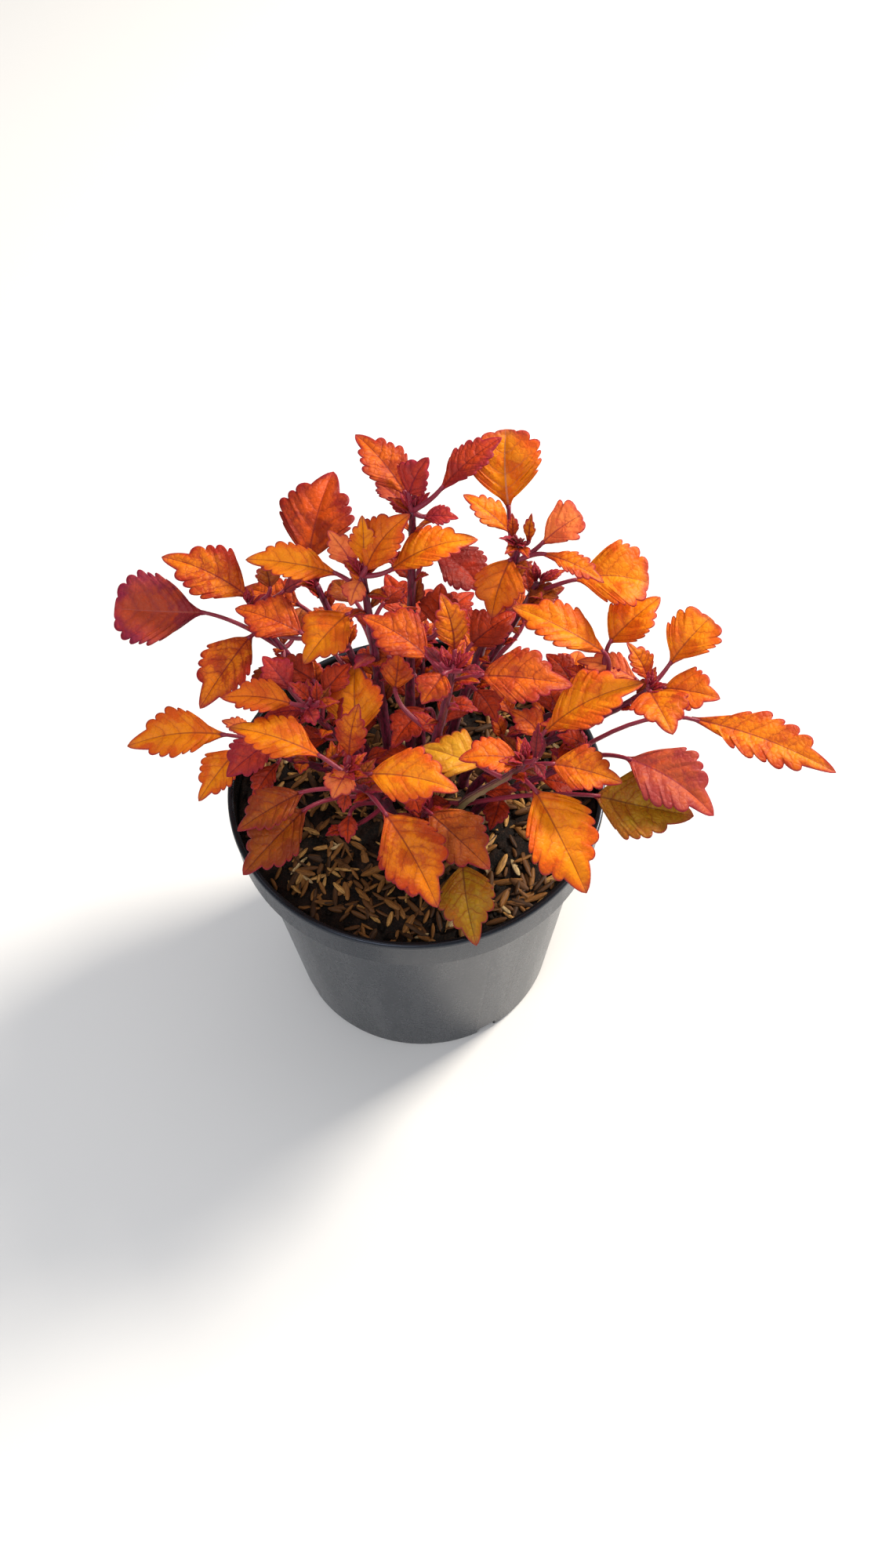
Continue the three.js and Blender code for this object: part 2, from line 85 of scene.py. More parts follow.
class Graph:
    """The nodes of one material, built by short calls."""

    def __init__(self, name: str) -> None:
        """Starts an empty node tree for a new material of this name."""
        self.material = bpy.data.materials.new(name)
        self.material.use_nodes = True
        self.tree = self.material.node_tree
        self.tree.nodes.clear()

    def add(self, kind: str, inputs: dict[str | int, object] | None = None, **settings: object) -> bpy.types.Node:
        """Adds one node.

        Args:
            kind: the node's type name, without its ShaderNode prefix.
            inputs: a value or a socket for each named or numbered input.
            **settings: the node's own properties.

        Returns:
            The new node.
        """
        node = self.tree.nodes.new("ShaderNode" + kind)
        for name, value in settings.items():
            setattr(node, name, value)
        for key, value in (inputs or {}).items():
            if isinstance(value, Socket):
                self.tree.links.new(value, node.inputs[key])
            else:
                node.inputs[key].default_value = value
        return node

    def math(self, operation: str, *values: object, clamp: bool = False) -> Socket:
        """Adds a Math node and returns its result."""
        return self.add("Math", dict(enumerate(values)), operation=operation, use_clamp=clamp).outputs[0]

    def times(self, first: object, second: object) -> Socket:
        """Multiplies two numbers."""
        return self.math("MULTIPLY", first, second)

    def mix(self, amount: object, first: object, second: object, blend: str = "MIX") -> Socket:
        """Mixes two colours.

        Args:
            amount: share of the second colour, 0 to 1.
            first: the colour at 0.
            second: the colour at 1.
            blend: how the second colour is laid over the first.

        Returns:
            The mixed colour.
        """
        inputs = {"Factor": amount, 6: first, 7: second}
        return self.add("Mix", inputs, data_type="RGBA", blend_type=blend).outputs[2]

    def ramp(self, value: object, low: object, high: object, start: float = 0.0, end: float = 1.0) -> Socket:
        """Turns a number between low and high smoothly into one between start and end."""
        inputs = {0: value, 1: low, 2: high, 3: start, 4: end}
        return self.add("MapRange", inputs, interpolation_type="SMOOTHSTEP").outputs[0]

    def noise(self, place: Socket, scale: float, detail: float = 3.0, roughness: float = 0.5) -> Socket:
        """Adds soft noise, about 0.5 on average, at a place with so many waves a unit."""
        inputs = {"Vector": place, "Scale": scale, "Detail": detail, "Roughness": roughness}
        return self.add("TexNoise", inputs).outputs[0]

    def attribute(self, name: str) -> Socket:
        """Reads a colour that the piece's mesh carries."""
        return self.add("Attribute", attribute_name=name).outputs["Color"]

    def vector(self, name: str) -> tuple[Socket, Socket, Socket]:
        """Reads a vector that the piece's mesh carries, as its three numbers."""
        source = self.add("Attribute", attribute_name=name).outputs["Vector"]
        parts = self.add("SeparateXYZ", {0: source}).outputs
        return parts[0], parts[1], parts[2]

    def place(self) -> Socket:
        """Reads the point's place on the object, in metres."""
        return self.add("TexCoord").outputs["Object"]

    def bump(self, height: Socket, depth: float, strength: float = 1.0, under: Socket | None = None) -> Socket:
        """Turns a height into a bent normal.

        Args:
            height: the relief, 0 to 1.
            depth: what a height of 1 stands for, in metres.
            strength: how much of the relief shows.
            under: a coarser normal that this relief lies on.

        Returns:
            The normal.
        """
        inputs = {"Height": height, "Distance": depth, "Strength": strength}
        if under is not None:
            inputs["Normal"] = under
        return self.add("Bump", inputs).outputs[0]

    def surface(self, inputs: dict[str | int, object]) -> Socket:
        """Adds the main shader with these inputs."""
        return self.add("BsdfPrincipled", inputs).outputs[0]

    def done(self, shader: Socket) -> bpy.types.Material:
        """Joins the shader to the output and returns the material."""
        self.add("OutputMaterial", {"Surface": shader})
        return self.material


# ---------------------------------------------------------------- finishes


@dataclass(frozen=True)
class PotPlastic:
    """Satin black plastic whose outside has a dusty blue-grey bloom."""

    bloom: str = "1b1e22"
    dust: str = "32363c"
    bare: str = "121010"
    lip_radius: float = 0.0736
    lip_height: float = 0.1186
    bare_from: tuple[float, float] = (0.1045, 0.106)
    roughness: tuple[float, float] = (0.24, 0.32)
    sheen: str = "d4e0fa"

    def material(self) -> bpy.types.Material:
        """Builds the material."""
        g = Graph("nursery_pot_plastic")
        place = g.place()
        x, y, z = g.add("SeparateXYZ", {0: place}).outputs
        streaked = g.add("Mapping", {0: place, "Scale": (1.0, 1.0, 0.12)}).outputs[0]
        streaks = g.noise(streaked, 90.0, 5.0, 0.6)
        clouds = g.noise(place, 22.0, 4.0)
        specks = g.noise(place, 900.0, 2.0)
        dusty = g.times(g.ramp(streaks, 0.42, 0.75), g.ramp(clouds, 0.35, 0.7))
        colour = g.mix(g.times(dusty, 0.3), linear(self.bloom), linear(self.dust))
        scuff = g.add("TexVoronoi", {"Vector": streaked, "Scale": 70.0}, feature="DISTANCE_TO_EDGE").outputs[0]
        scuffed = g.times(g.ramp(scuff, 0.012, 0.0), g.ramp(clouds, 0.5, 0.62))
        colour = g.mix(g.times(scuffed, 0.25), colour, linear(self.dust))
        radius = g.math("SQRT", g.math("ADD", g.times(x, x), g.times(y, y)))
        lip = g.ramp(z, self.lip_height - 0.0006, self.lip_height, 0.0, 0.0012)
        inside = g.ramp(g.math("SUBTRACT", radius, lip), self.lip_radius, self.lip_radius - 0.0005)
        inside = g.times(inside, g.ramp(z, *self.bare_from))
        colour = g.mix(inside, colour, linear(self.bare))
        rough = g.ramp(g.math("ADD", g.times(streaks, 0.6), g.times(specks, 0.4)), 0.35, 0.65, *self.roughness)
        normal = g.bump(g.math("ADD", g.times(streaks, 0.7), g.times(specks, 0.3)), 0.00008, 0.06)
        inputs = {"Base Color": colour, "Roughness": rough, "Normal": normal, "Specular IOR Level": 0.38}
        inputs["Specular Tint"] = linear(self.sheen)
        return g.done(g.surface(inputs))


@dataclass(frozen=True)
class MixFinish:
    """Damp dark peat and bark fines."""

    dark: str = "0b0705"
    brown: str = "20130c"
    straw: str = "6a4822"

    def material(self) -> bpy.types.Material:
        """Builds the material."""
        g = Graph("potting_mix_fines")
        place = g.place()
        coarse = g.noise(place, 240.0, 5.0, 0.65)
        fine = g.noise(place, 1500.0, 4.0, 0.7)
        colour = g.mix(g.ramp(coarse, 0.42, 0.66), linear(self.dark), linear(self.brown))
        colour = g.mix(g.ramp(fine, 0.58, 0.74, 0.0, 0.5), colour, linear(self.straw))
        relief = g.math("ADD", g.times(coarse, 0.6), g.times(fine, 0.4))
        rough = g.ramp(fine, 0.3, 0.6, 0.95, 0.55)
        normal = g.bump(relief, 0.0012, 0.8)
        inputs = {"Base Color": colour, "Roughness": rough, "Normal": normal, "Specular IOR Level": 0.12}
        return g.done(g.surface(inputs))


@dataclass(frozen=True)
class HuskFinish:
    """Dry rice husk: straw to brown, ribbed along its length, each its own tone."""

    groove: str = "4f300f"

    def material(self) -> bpy.types.Material:
        """Builds the material, which reads each husk's tone and its own grain."""
        g = Graph("rice_husk")
        along, across, seed = g.vector("grain")
        tone = g.attribute("tone")
        point = g.add("CombineXYZ", {0: g.times(along, 0.16), 1: across, 2: g.times(seed, 9.0)}).outputs[0]
        ribs = g.noise(point, 2.6, 3.0)
        blotch = g.noise(point, 0.9, 2.0)
        colour = g.mix(g.ramp(ribs, 0.44, 0.6, 0.55, 0.0), tone, linear(self.groove))
        colour = g.mix(g.ramp(blotch, 0.5, 0.7, 0.0, 0.4), colour, linear(self.groove))
        normal = g.bump(ribs, 0.0004, 0.6)
        inputs = {"Base Color": colour, "Roughness": 0.55, "Normal": normal, "Specular IOR Level": 0.2}
        return g.done(g.surface(inputs))


@dataclass(frozen=True)
class LeafFinish:
    """Soft coleus blade: glowing middle, redder edge, fine dark net, maroon veins and a magenta margin line, with red
    patches that are partly its own flush and partly painted shadow, yellow flecks that are partly painted sunlight,
    and painted shade along the side veins.
    """

    margin: str = "a01c3c"
    base: str = "962236"
    below: str = "b8443c"
    rib_below: str = "c87468"
    net: str = "962e14"
    flecks_and_painted_sunlight: str = "ffc040"
    translucent: float = 0.3

    def material(self) -> bpy.types.Material:
        """Builds the material, which reads where a point lies on its blade and the blade's own colours."""
        g = Graph("coleus_blade")
        share, across, vein_count = g.vector("blade")
        along, out, margin = g.vector("span")
        seed, spacing, under = g.vector("leaf")
        middle, edge, vein = g.attribute("middle"), g.attribute("edge"), g.attribute("vein")
        shifted = g.math("ADD", along, g.times(seed, 71.0))
        place = g.add("CombineXYZ", {0: shifted, 1: out, 2: g.times(seed, 13.0)}).outputs[0]
        reach = g.math("ABSOLUTE", across)
        clouds = g.noise(place, 0.14, 4.0, 0.55)
        flecks_and_sunlit_patches = g.noise(place, 0.42, 3.0, 0.6)
        grain = g.noise(place, 2.2, 3.0, 0.6)

        wander = g.times(g.math("SUBTRACT", clouds, 0.5), 1.7)
        outer = g.ramp(g.math("ADD", reach, wander), 0.32, 1.08)
        colour = g.mix(outer, middle, edge)
        # Red patches, stronger towards the base: partly the blade's own colour flush, partly painted shadow of the
        # leaves above.
        flush_and_painted_shadow = g.math("ADD", g.times(clouds, 1.2), g.times(share, -0.35))
        colour = g.mix(g.ramp(flush_and_painted_shadow, 0.42, 0.56, 0.0, 0.6), colour, edge)
        # Yellow flecks: partly the blade's own, partly painted patches of sunlight.
        colour = g.mix(g.ramp(flecks_and_sunlit_patches, 0.54, 0.74, 0.0, 0.5), colour, linear(self.flecks_and_painted_sunlight), "SOFT_LIGHT")

        strayed = g.times(g.noise(place, 0.35, 2.0), 0.5)
        shifted_count = g.math("FRACT", g.math("ADD", g.math("ADD", vein_count, strayed), 100.25))
        off_vein = g.times(g.math("ABSOLUTE", g.math("SUBTRACT", shifted_count, 0.5)), spacing)
        on_blade = g.times(g.ramp(reach, 1.0, 0.5, 0.2, 1.0), g.ramp(vein_count, -1.7, -1.4))
        on_blade = g.times(on_blade, g.ramp(share, 0.95, 0.8))
        # Painted shade: the blade turns to its edge colour along the sunken side veins, standing in for the shading of
        # its quilted relief.
        painted_vein_shade = g.times(g.ramp(off_vein, 0.1, 1.3, 0.25, 0.0), on_blade)
        colour = g.mix(painted_vein_shade, colour, edge)
        net = g.add("TexVoronoi", {"Vector": place, "Scale": 0.46}, feature="DISTANCE_TO_EDGE").outputs[0]
        fine_net = g.add("TexVoronoi", {"Vector": place, "Scale": 1.1}, feature="DISTANCE_TO_EDGE").outputs[0]
        bold = g.ramp(g.add("SeparateColor", {0: vein}).outputs[0], 0.32, 0.19)
        width = g.ramp(bold, 0.0, 1.0, 0.08, 0.13)
        faint = g.ramp(bold, 0.0, 1.0, 0.28, 0.5)
        threads = g.times(g.ramp(net, 0.0, width, 1.0, 0.0), faint)
        threads = g.math("ADD", threads, g.ramp(fine_net, 0.0, 0.12, 0.12, 0.0))
        threads = g.times(threads, g.ramp(clouds, 0.3, 0.62, 0.4, 1.0))
        colour = g.mix(threads, colour, g.mix(0.5, edge, linear(self.net)))
        thin = g.math("MULTIPLY_ADD", reach, -0.12, 0.26)
        line = g.times(g.times(g.ramp(off_vein, g.times(thin, 0.2), g.times(thin, 1.4), 1.0, 0.0), faint), on_blade)
        colour = g.mix(line, colour, g.mix(0.6, vein, linear(self.net)))
        from_rib = g.math("ABSOLUTE", out)
        rib = g.ramp(from_rib, g.ramp(share, 0.0, 1.0, 0.2, 0.02), g.ramp(share, 0.0, 1.0, 0.55, 0.22), 0.75, 0.0)
        colour = g.mix(rib, colour, vein)

        rim = g.ramp(margin, 0.1, 0.5, 0.75, 0.0)
        tip = g.ramp(share, 0.86, 1.0, 0.0, 0.6)
        colour = g.mix(g.math("MAXIMUM", rim, tip), colour, linear(self.margin))
        colour = g.mix(g.ramp(share, 0.0, 0.1, 0.7, 0.0), colour, linear(self.base))
        beneath = g.mix(0.4, colour, linear(self.below))
        beneath = g.mix(g.ramp(from_rib, 0.3, 0.8, 0.7, 0.0), beneath, linear(self.rib_below))
        colour = g.mix(under, colour, beneath)

        cells = g.math("MINIMUM", g.times(net, 3.0), 1.0)
        relief = g.math("ADD", g.times(cells, g.ramp(bold, 0.0, 1.0, 0.6, 0.8)), g.times(grain, 0.5))
        relief = g.math("SUBTRACT", relief, g.times(line, 0.8))
        normal = g.bump(relief, 0.0004, 0.6)
        rough = g.ramp(grain, 0.3, 0.7, 0.42, 0.55)
        inputs = {"Base Color": colour, "Roughness": rough, "Normal": normal, "Specular IOR Level": 0.22}
        glow = g.add("BsdfTranslucent", {"Color": colour, "Normal": normal}).outputs[0]
        return g.done(g.add("MixShader", {0: self.translucent, 1: g.surface(inputs), 2: glow}).outputs[0])


@dataclass(frozen=True)
class StemFinish:
    """Purple stem and stalk skin: ribbed, a little downy, paler and greener along the underside at some feet, partly
    its own colour and partly a painted reflection.
    """

    dark: str = "3c0d1a"
    bright: str = "74193a"
    stalk: str = "8c2236"
    down: str = "8c6478"

    def material(self) -> bpy.types.Material:
        """Builds the material, which reads how far along the stem or stalk a point lies."""
        g = Graph("coleus_stem")
        share, stalk, pale = g.vector("blade")
        along, around, _ = g.vector("span")
        seed, _, _ = g.vector("leaf")
        shifted = g.math("ADD", g.times(along, 0.25), g.times(seed, 31.0))
        place = g.add("CombineXYZ", {0: shifted, 1: g.times(around, 1.6), 2: seed}).outputs[0]
        streaks = g.noise(place, 1.3, 4.0, 0.6)
        specks = g.noise(g.place(), 2600.0, 2.0)
        colour = g.mix(g.ramp(streaks, 0.35, 0.65), linear(self.dark), linear(self.bright))
        colour = g.mix(g.times(stalk, 0.75), colour, linear(self.stalk))
        # Pale green on the underside near the foot: partly the stem's own greener skin, partly a painted reflection.
        beneath = g.ramp(g.math("SINE", around), -0.4, -0.8, 0.05, 1.0)
        colour = g.mix(g.times(pale, beneath), colour, g.attribute("middle"))
        colour = g.mix(g.ramp(specks, 0.58, 0.78, 0.0, 0.3), colour, linear(self.down))
        normal = g.bump(g.math("ADD", streaks, g.times(specks, 0.5)), 0.0003, 0.5)
        inputs = {"Base Color": colour, "Roughness": 0.42, "Normal": normal, "Specular IOR Level": 0.4}
        inputs.update({"Sheen Weight": 0.08, "Sheen Roughness": 0.35, "Sheen Tint": (0.9, 0.8, 0.95, 1.0)})
        return g.done(g.surface(inputs))


@dataclass(frozen=True)
class FloorFinish:
    """Plain pale studio paper."""

    paper: str = "dededc"

    def material(self) -> bpy.types.Material:
        """Builds the material."""
        g = Graph("studio_paper")
        tone = g.noise(g.place(), 3.0)
        rough = g.ramp(tone, 0.3, 0.7, 0.8, 0.9)
        return g.done(g.surface({"Base Color": linear(self.paper), "Roughness": rough}))


# ---------------------------------------------------------------- finishing a piece


class Batch:
    """A piece's mesh, gathered from parts that are each made in a small bmesh of their own."""

    def __init__(self, vectors: tuple[str, ...] = (), colours: tuple[str, ...] = ()) -> None:
        """Starts an empty piece whose vertices carry these vectors and colours."""
        self.vectors = vectors
        self.colours = colours
        self.bm = self.part()

    def part(self) -> bmesh.types.BMesh:
        """Starts an empty part with the piece's layers."""
        bm = bmesh.new()
        for name in self.vectors:
            bm.verts.layers.float_vector.new(name)
        for name in self.colours:
            bm.verts.layers.float_color.new(name)
        return bm

    def join(self, part: bmesh.types.BMesh) -> None:
        """Adds a finished part with its faces turned outwards, and frees it."""
        bmesh.ops.recalc_face_normals(part, faces=part.faces)
        mesh = bpy.data.meshes.new("part")
        part.to_mesh(mesh)
        part.free()
        self.bm.from_mesh(mesh)
        bpy.data.meshes.remove(mesh)


def linked(name: str, bm: bmesh.types.BMesh) -> bpy.types.Object:
    """Makes an object with this name and mesh in the scene, and frees the bmesh.

    Args:
        name: the object's and the mesh's name.
        bm: the shape.

    Returns:
        The new object.
    """
    mesh = bpy.data.meshes.new(name)
    bm.to_mesh(mesh)
    bm.free()
    made = bpy.data.objects.new(name, mesh)
    bpy.context.scene.collection.objects.link(made)
    return made


def round_edges(bm: bmesh.types.BMesh, edges: list[bmesh.types.BMEdge], offset: float, clamp: bool = False) -> None:
    """Rounds edges with three faces across each, held back from overlapping where `clamp` is set."""
    bmesh.ops.bevel(
        bm, geom=edges, offset=offset, affect="EDGES", segments=3, profile=0.5, material=-1, clamp_overlap=clamp
    )


def finish(
    name: str,
    bm: bmesh.types.BMesh,
    materials: list[bpy.types.Material],
    stands_for: str | None = None,
    crease: float = NO_CREASE,
) -> bpy.types.Object:
    """Makes a smooth-shaded object in metres, which rides on the plant's one body.

    Args:
        name: the object's name.
        bm: the piece in millimetres, freed here.
        materials: the finishes, by the faces' material numbers.
        stands_for: the CAD node that the piece replaces.
        crease: edges that turn by more than this many degrees stay sharp.

    Returns:
        The new object.
    """
    bmesh.ops.transform(bm, matrix=Matrix.Scale(METRE, 4), verts=bm.verts)
    for face in bm.faces:
        face.smooth = True
    piece = linked(name, bm)
    mesh = piece.data
    for material in materials:
        mesh.materials.append(material)
    if crease < NO_CREASE:
        mesh.set_sharp_from_angle(angle=radians(crease))
    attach(piece, BODY)
    if stands_for:
        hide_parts(stands_for)
    triangles = sum(len(face.vertices) - 2 for face in mesh.polygons)
    REPORT.info("%s: %d triangles", name, triangles)
    return piece


def turn_profile(bm: bmesh.types.BMesh, profile: list[tuple[float, float]], steps: int) -> None:
    """Spins a profile once round the Z axis into a closed skin.

    Args:
        bm: where the skin is made.
        profile: radius and height of each point, from axis to axis.
        steps: how many parts the circle has.
    """
    chain = [bm.verts.new((radius, 0.0, height)) for radius, height in profile]
    edges = [bm.edges.new(pair) for pair in zip(chain, chain[1:])]
    bmesh.ops.spin(
        bm, geom=chain + edges, cent=(0, 0, 0), axis=(0, 0, 1), angle=ROUND, steps=steps, use_merge=True
    )
    bmesh.ops.remove_doubles(bm, verts=bm.verts, dist=1e-4)
    bmesh.ops.recalc_face_normals(bm, faces=bm.faces)


# ---------------------------------------------------------------- pot


@dataclass(frozen=True)
class NurseryPot:
    """Round tapered pot with a collar, a raised channel below, and drain slots and holes."""

    height: float = 120.0
    rim_radius: float = 75.0
    collar_depth: float = 17.0
    collar_step: float = 5.0
    collar_taper: float = 1.2
    base_radius: float = 55.5
    wall: float = 1.5
    floor: float = 2.0
    channel_rise: float = 2.5
    channel_inner: float = 31.0
    channel_outer: float = 49.0
    channel_slope: float = 1.5
    bead: float = 3.0
    bead_edge: float = 0.6
    bead_round: float = 1.0
    lip_inset: float = 2.6
    steps: int = 160
    edge_round: float = 0.55
    foot_round: float = 2.2
    slots: int = 4
    slot_size: tuple[float, float, float] = (12.0, 9.0, 12.0)
    slot_turn: float = -62.0
    holes: int = 4
    hole_radius: float = 3.5
    hole_circle: float = 40.0
    hole_sides: int = 24
    slot_round: float = 1.2
    cutter_length: float = 30.0
    sharp_from: float = 20.0
    crease: float = 40.0

    @property
    def collar_foot(self) -> float:
        """Height of the collar's lower edge."""
        return self.height - self.collar_depth

    def wall_radius(self, height: float) -> float:
        """Radius of the outer wall at a height below the collar."""
        top = self.rim_radius - self.collar_taper - self.collar_step
        return self.base_radius + (top - self.base_radius) * height / self.collar_foot

    def profile(self) -> list[tuple[float, float]]:
        """Lists the section's corners, from the middle underneath, up the outside and back down the inside."""
        foot, slope = self.collar_foot, self.channel_slope / 2
        collar = self.wall_radius(foot) + self.collar_step
        deck = self.floor + self.channel_rise
        return [
            (0.0, 0.0),
            (self.channel_inner - slope, 0.0),
            (self.channel_inner + slope, self.channel_rise),
            (self.channel_outer - slope, self.channel_rise),
            (self.channel_outer + slope, 0.0),
            (self.base_radius, 0.0),
            (self.wall_radius(foot), foot),
            (collar, foot + self.bead_edge),
            (self.rim_radius - self.bead_round, self.height - self.bead - self.bead_edge),
            (self.rim_radius, self.height - self.bead),
            (self.rim_radius, self.height - self.bead_edge),
            (self.rim_radius - self.bead_round, self.height),
            (self.rim_radius - self.lip_inset, self.height - self.bead_edge),
            (collar - self.wall, foot + 2 * self.wall),
            (self.wall_radius(foot) - self.wall, foot + self.wall),
            (self.wall_radius(deck) - self.wall, deck),
            (0.0, deck),
        ]

    def shell(self) -> bmesh.types.BMesh:
        """Turns the section and rounds its edges."""
        bm = bmesh.new()
        turn_profile(bm, self.profile(), self.steps)
        sharp = [e for e in bm.edges if len(e.link_faces) == 2 and e.calc_face_angle() > radians(self.sharp_from)]
        at_foot = [
            e for e in sharp
            if all(v.co.z < 0.1 and hypot(v.co.x, v.co.y) > self.base_radius - 0.5 for v in e.verts)
        ]
        foot_edges = set(at_foot)
        rest = [e for e in sharp if e not in foot_edges]
        for edges, offset in ((rest, self.edge_round), (at_foot, self.foot_round)):
            round_edges(bm, [e for e in edges if e.is_valid], offset, clamp=True)
        return bm

    def cutters(self) -> bpy.types.Object:
        """Makes the boxes and rods that open the drain slots and holes, in metres."""
        bm = bmesh.new()
        for i in range(self.slots):
            turn = Matrix.Rotation(radians(self.slot_turn + 360 * i / self.slots), 4, "Z")
            size = Matrix.Diagonal((*self.slot_size, 1.0))
            place = turn @ Matrix.Translation((self.base_radius, 0, 0)) @ size
            box = bmesh.ops.create_cube(bm, size=1.0, matrix=place)["verts"]
            level = [e for v in box for e in v.link_edges if e.verts[0].co.z * e.verts[1].co.z > 1]
            round_edges(bm, list(set(level)), self.slot_round)
        radius = self.hole_radius
        for i in range(self.holes):
            turn = Matrix.Rotation(radians(360 * i / self.holes), 4, "Z")
            place = turn @ Matrix.Translation((self.hole_circle, 0, 0))
            bmesh.ops.create_cone(
                bm, cap_ends=True, segments=self.hole_sides, radius1=radius, radius2=radius,
                depth=self.cutter_length, matrix=place,
            )
        bmesh.ops.transform(bm, matrix=Matrix.Scale(METRE, 4), verts=bm.verts)
        return linked("drain_cutters", bm)

    def build(self) -> bpy.types.Object:
        """Builds the pot, opens its drains and dresses it."""
        pot = finish("nursery_pot", self.shell(), [PotPlastic().material()], "pot", self.crease)
        cutter = self.cutters()
        opening = pot.modifiers.new("drains", "BOOLEAN")
        opening.operation = "DIFFERENCE"
        opening.solver = "EXACT"
        opening.object = cutter
        graph = bpy.context.evaluated_depsgraph_get()
        opened = bpy.data.meshes.new_from_object(pot.evaluated_get(graph))
        pot.modifiers.clear()
        pot.data = opened
        opened.set_sharp_from_angle(angle=radians(self.crease))
        bpy.data.objects.remove(cutter)
        return pot


# ---------------------------------------------------------------- potting mix


class HuskTone(Enum):
    """Colours of the rice husks."""

    GOLDEN = "825628"
    STRAW = "b4874a"
    BROWN = "56361a"
    DULL = "2e1d11"
    PALE = "b49c70"


# Of every 29 husks, about how many have each tone.
HUSK_SHARES = {
    HuskTone.GOLDEN: 8,
    HuskTone.STRAW: 4,
    HuskTone.BROWN: 8,
    HuskTone.DULL: 8,
    HuskTone.PALE: 1,
}


@dataclass(frozen=True)
class PottingMix:
    """Dark fines with crumbs, rice husks and a few pale bits, filling the pot to just below its collar's rim."""

    pot: NurseryPot
    level: float = MIX_LEVEL
    gap: float = 0.3
    ripple: float = MIX_RIPPLE
    settled: float = 0.8
    roughness: float = 0.75
    waves: tuple[float, float, float] = (9.0, 11.0, 6.0)
    rings: int = 74
    steps: int = 260
    crumbs: int = 620
    husks: int = 900
    husk_size: tuple[float, float, float] = (8.6, 2.7, 1.5)
    bits: int = 8
    seed: int = 11

    def ground(self, x: float, y: float) -> float:
        """Height of the mix at a place, with its broad ripples and small hollows."""
        along, across, fine = self.waves
        broad = sin(x / along) * cos(y / across) + 0.5 * sin((x + y) / fine)
        rough = noise.fractal(Vector((x, y, 3.0)) / 5.0, 0.8, 2.1, 4)
        return self.level - self.settled + 0.7 * self.ripple * broad + self.roughness * rough

    @property
    def reach(self) -> float:
        """Radius of the mix inside the collar."""
        foot = self.pot.collar_foot
        return self.pot.wall_radius(foot) + self.pot.collar_step - self.pot.wall - self.gap

    def body(self) -> bmesh.types.BMesh:
        """Builds the fill and its rough top."""
        pot, inset = self.pot, self.pot.wall + self.gap
        low = pot.floor + pot.channel_rise + self.gap
        foot = pot.collar_foot
        side = [
            (0.0, low),
            (pot.wall_radius(low) - inset, low),
            (pot.wall_radius(foot) - inset, foot + inset),
            (self.reach, foot + 2 * pot.wall + self.gap),
            (self.reach, self.level - 1.0),
        ]
        top = [(self.reach * (1 - i / self.rings), self.level) for i in range(1, self.rings + 1)]
        bm = bmesh.new()
        turn_profile(bm, side + top, self.steps)
        for vert in bm.verts:
            if vert.co.z > self.level - 0.5:
                vert.co.z = self.ground(vert.co.x, vert.co.y)
        return bm

    def scatter(self, rng: random.Random, clear: float) -> Vector:
        """Picks a place on the mix, at least `clear` from its edge."""
        distance = (self.reach - clear) * sqrt(rng.random())
        bearing = ROUND * rng.random()
        x, y = distance * cos(bearing), distance * sin(bearing)
        return Vector((x, y, self.ground(x, y)))

    def add_crumbs(self, fill: Batch, rng: random.Random) -> None:
        """Adds small lumps of bark and peat."""
        for _ in range(self.crumbs):
            size = rng.uniform(0.7, 1.9) * (1.5 if rng.random() < 0.1 else 1.0)
            place = Matrix.Translation(self.scatter(rng, 2 * size)) @ Matrix.Rotation(ROUND * rng.random(), 4, "Z")
            shape = Matrix.Diagonal((size * rng.uniform(0.7, 1.5), size * rng.uniform(0.6, 1), 0.6 * size, 1))
            bm = fill.part()
            lump = bmesh.ops.create_icosphere(bm, subdivisions=1, radius=1.0, matrix=place @ shape)["verts"]
            for vert in lump:
                vert.co += 0.25 * size * noise.noise_vector(vert.co * 1.7)
            fill.join(bm)

    def husk(self, litter: Batch, place: Matrix, size: Vector, tone: HuskTone, seed: float) -> None:
        """Adds one boat-shaped husk.

        Args:
            litter: the husks laid so far, with their grain and tone.
            place: where it lies and how it is turned.
            size: its length, width and height.
            tone: its colour.
            seed: a number that makes its grain its own.
        """
        bm = litter.part()
        grain = bm.verts.layers.float_vector["grain"]
        tones = bm.verts.layers.float_color["tone"]
        colour = linear(tone.value)
        made = bmesh.ops.create_uvsphere(bm, u_segments=6, v_segments=6, radius=1.0)["verts"]
        for vert in made:
            share, wide, deep = vert.co.z, vert.co.x, vert.co.y
            hollow = 0.45 if deep > 0 else 1.0
            bend = 0.25 * size.z * (share * share)
            vert[grain] = (share * size.x / 2, wide * size.y / 2, seed)
            vert[tones] = colour
            flat = Vector((share * size.x / 2, wide * size.y / 2, -deep * hollow * size.z / 2 + bend))
            vert.co = place @ flat
        litter.join(bm)

    def add_husks(self, litter: Batch, rng: random.Random) -> None:
        """Lays the husks over the mix in random directions, a few standing out of it."""
        tones = [tone for tone, share in HUSK_SHARES.items() for _ in range(share)]
        length, width, height = self.husk_size
        for _ in range(self.husks):
            scale = rng.uniform(1.3, 1.9) if rng.random() < 0.08 else rng.uniform(0.6, 1.25)
            spot = self.scatter(rng, 0.55 * length * scale)
            spot.z += rng.uniform(-0.1, 1.0)
            tilt = rng.gauss(0, 8) if rng.random() < 0.93 else rng.uniform(-30, 30)
            turn = Matrix.Rotation(ROUND * rng.random(), 4, "Z")
            lean = Matrix.Rotation(radians(tilt), 4, "Y") @ Matrix.Rotation(rng.gauss(0, 0.5), 4, "X")
            wide = width * min(1.1, scale) * rng.uniform(0.75, 1.2)
            size = Vector((length * scale, wide, height * rng.uniform(0.7, 1.1)))
            self.husk(litter, Matrix.Translation(spot) @ turn @ lean, size, rng.choice(tones), rng.random())

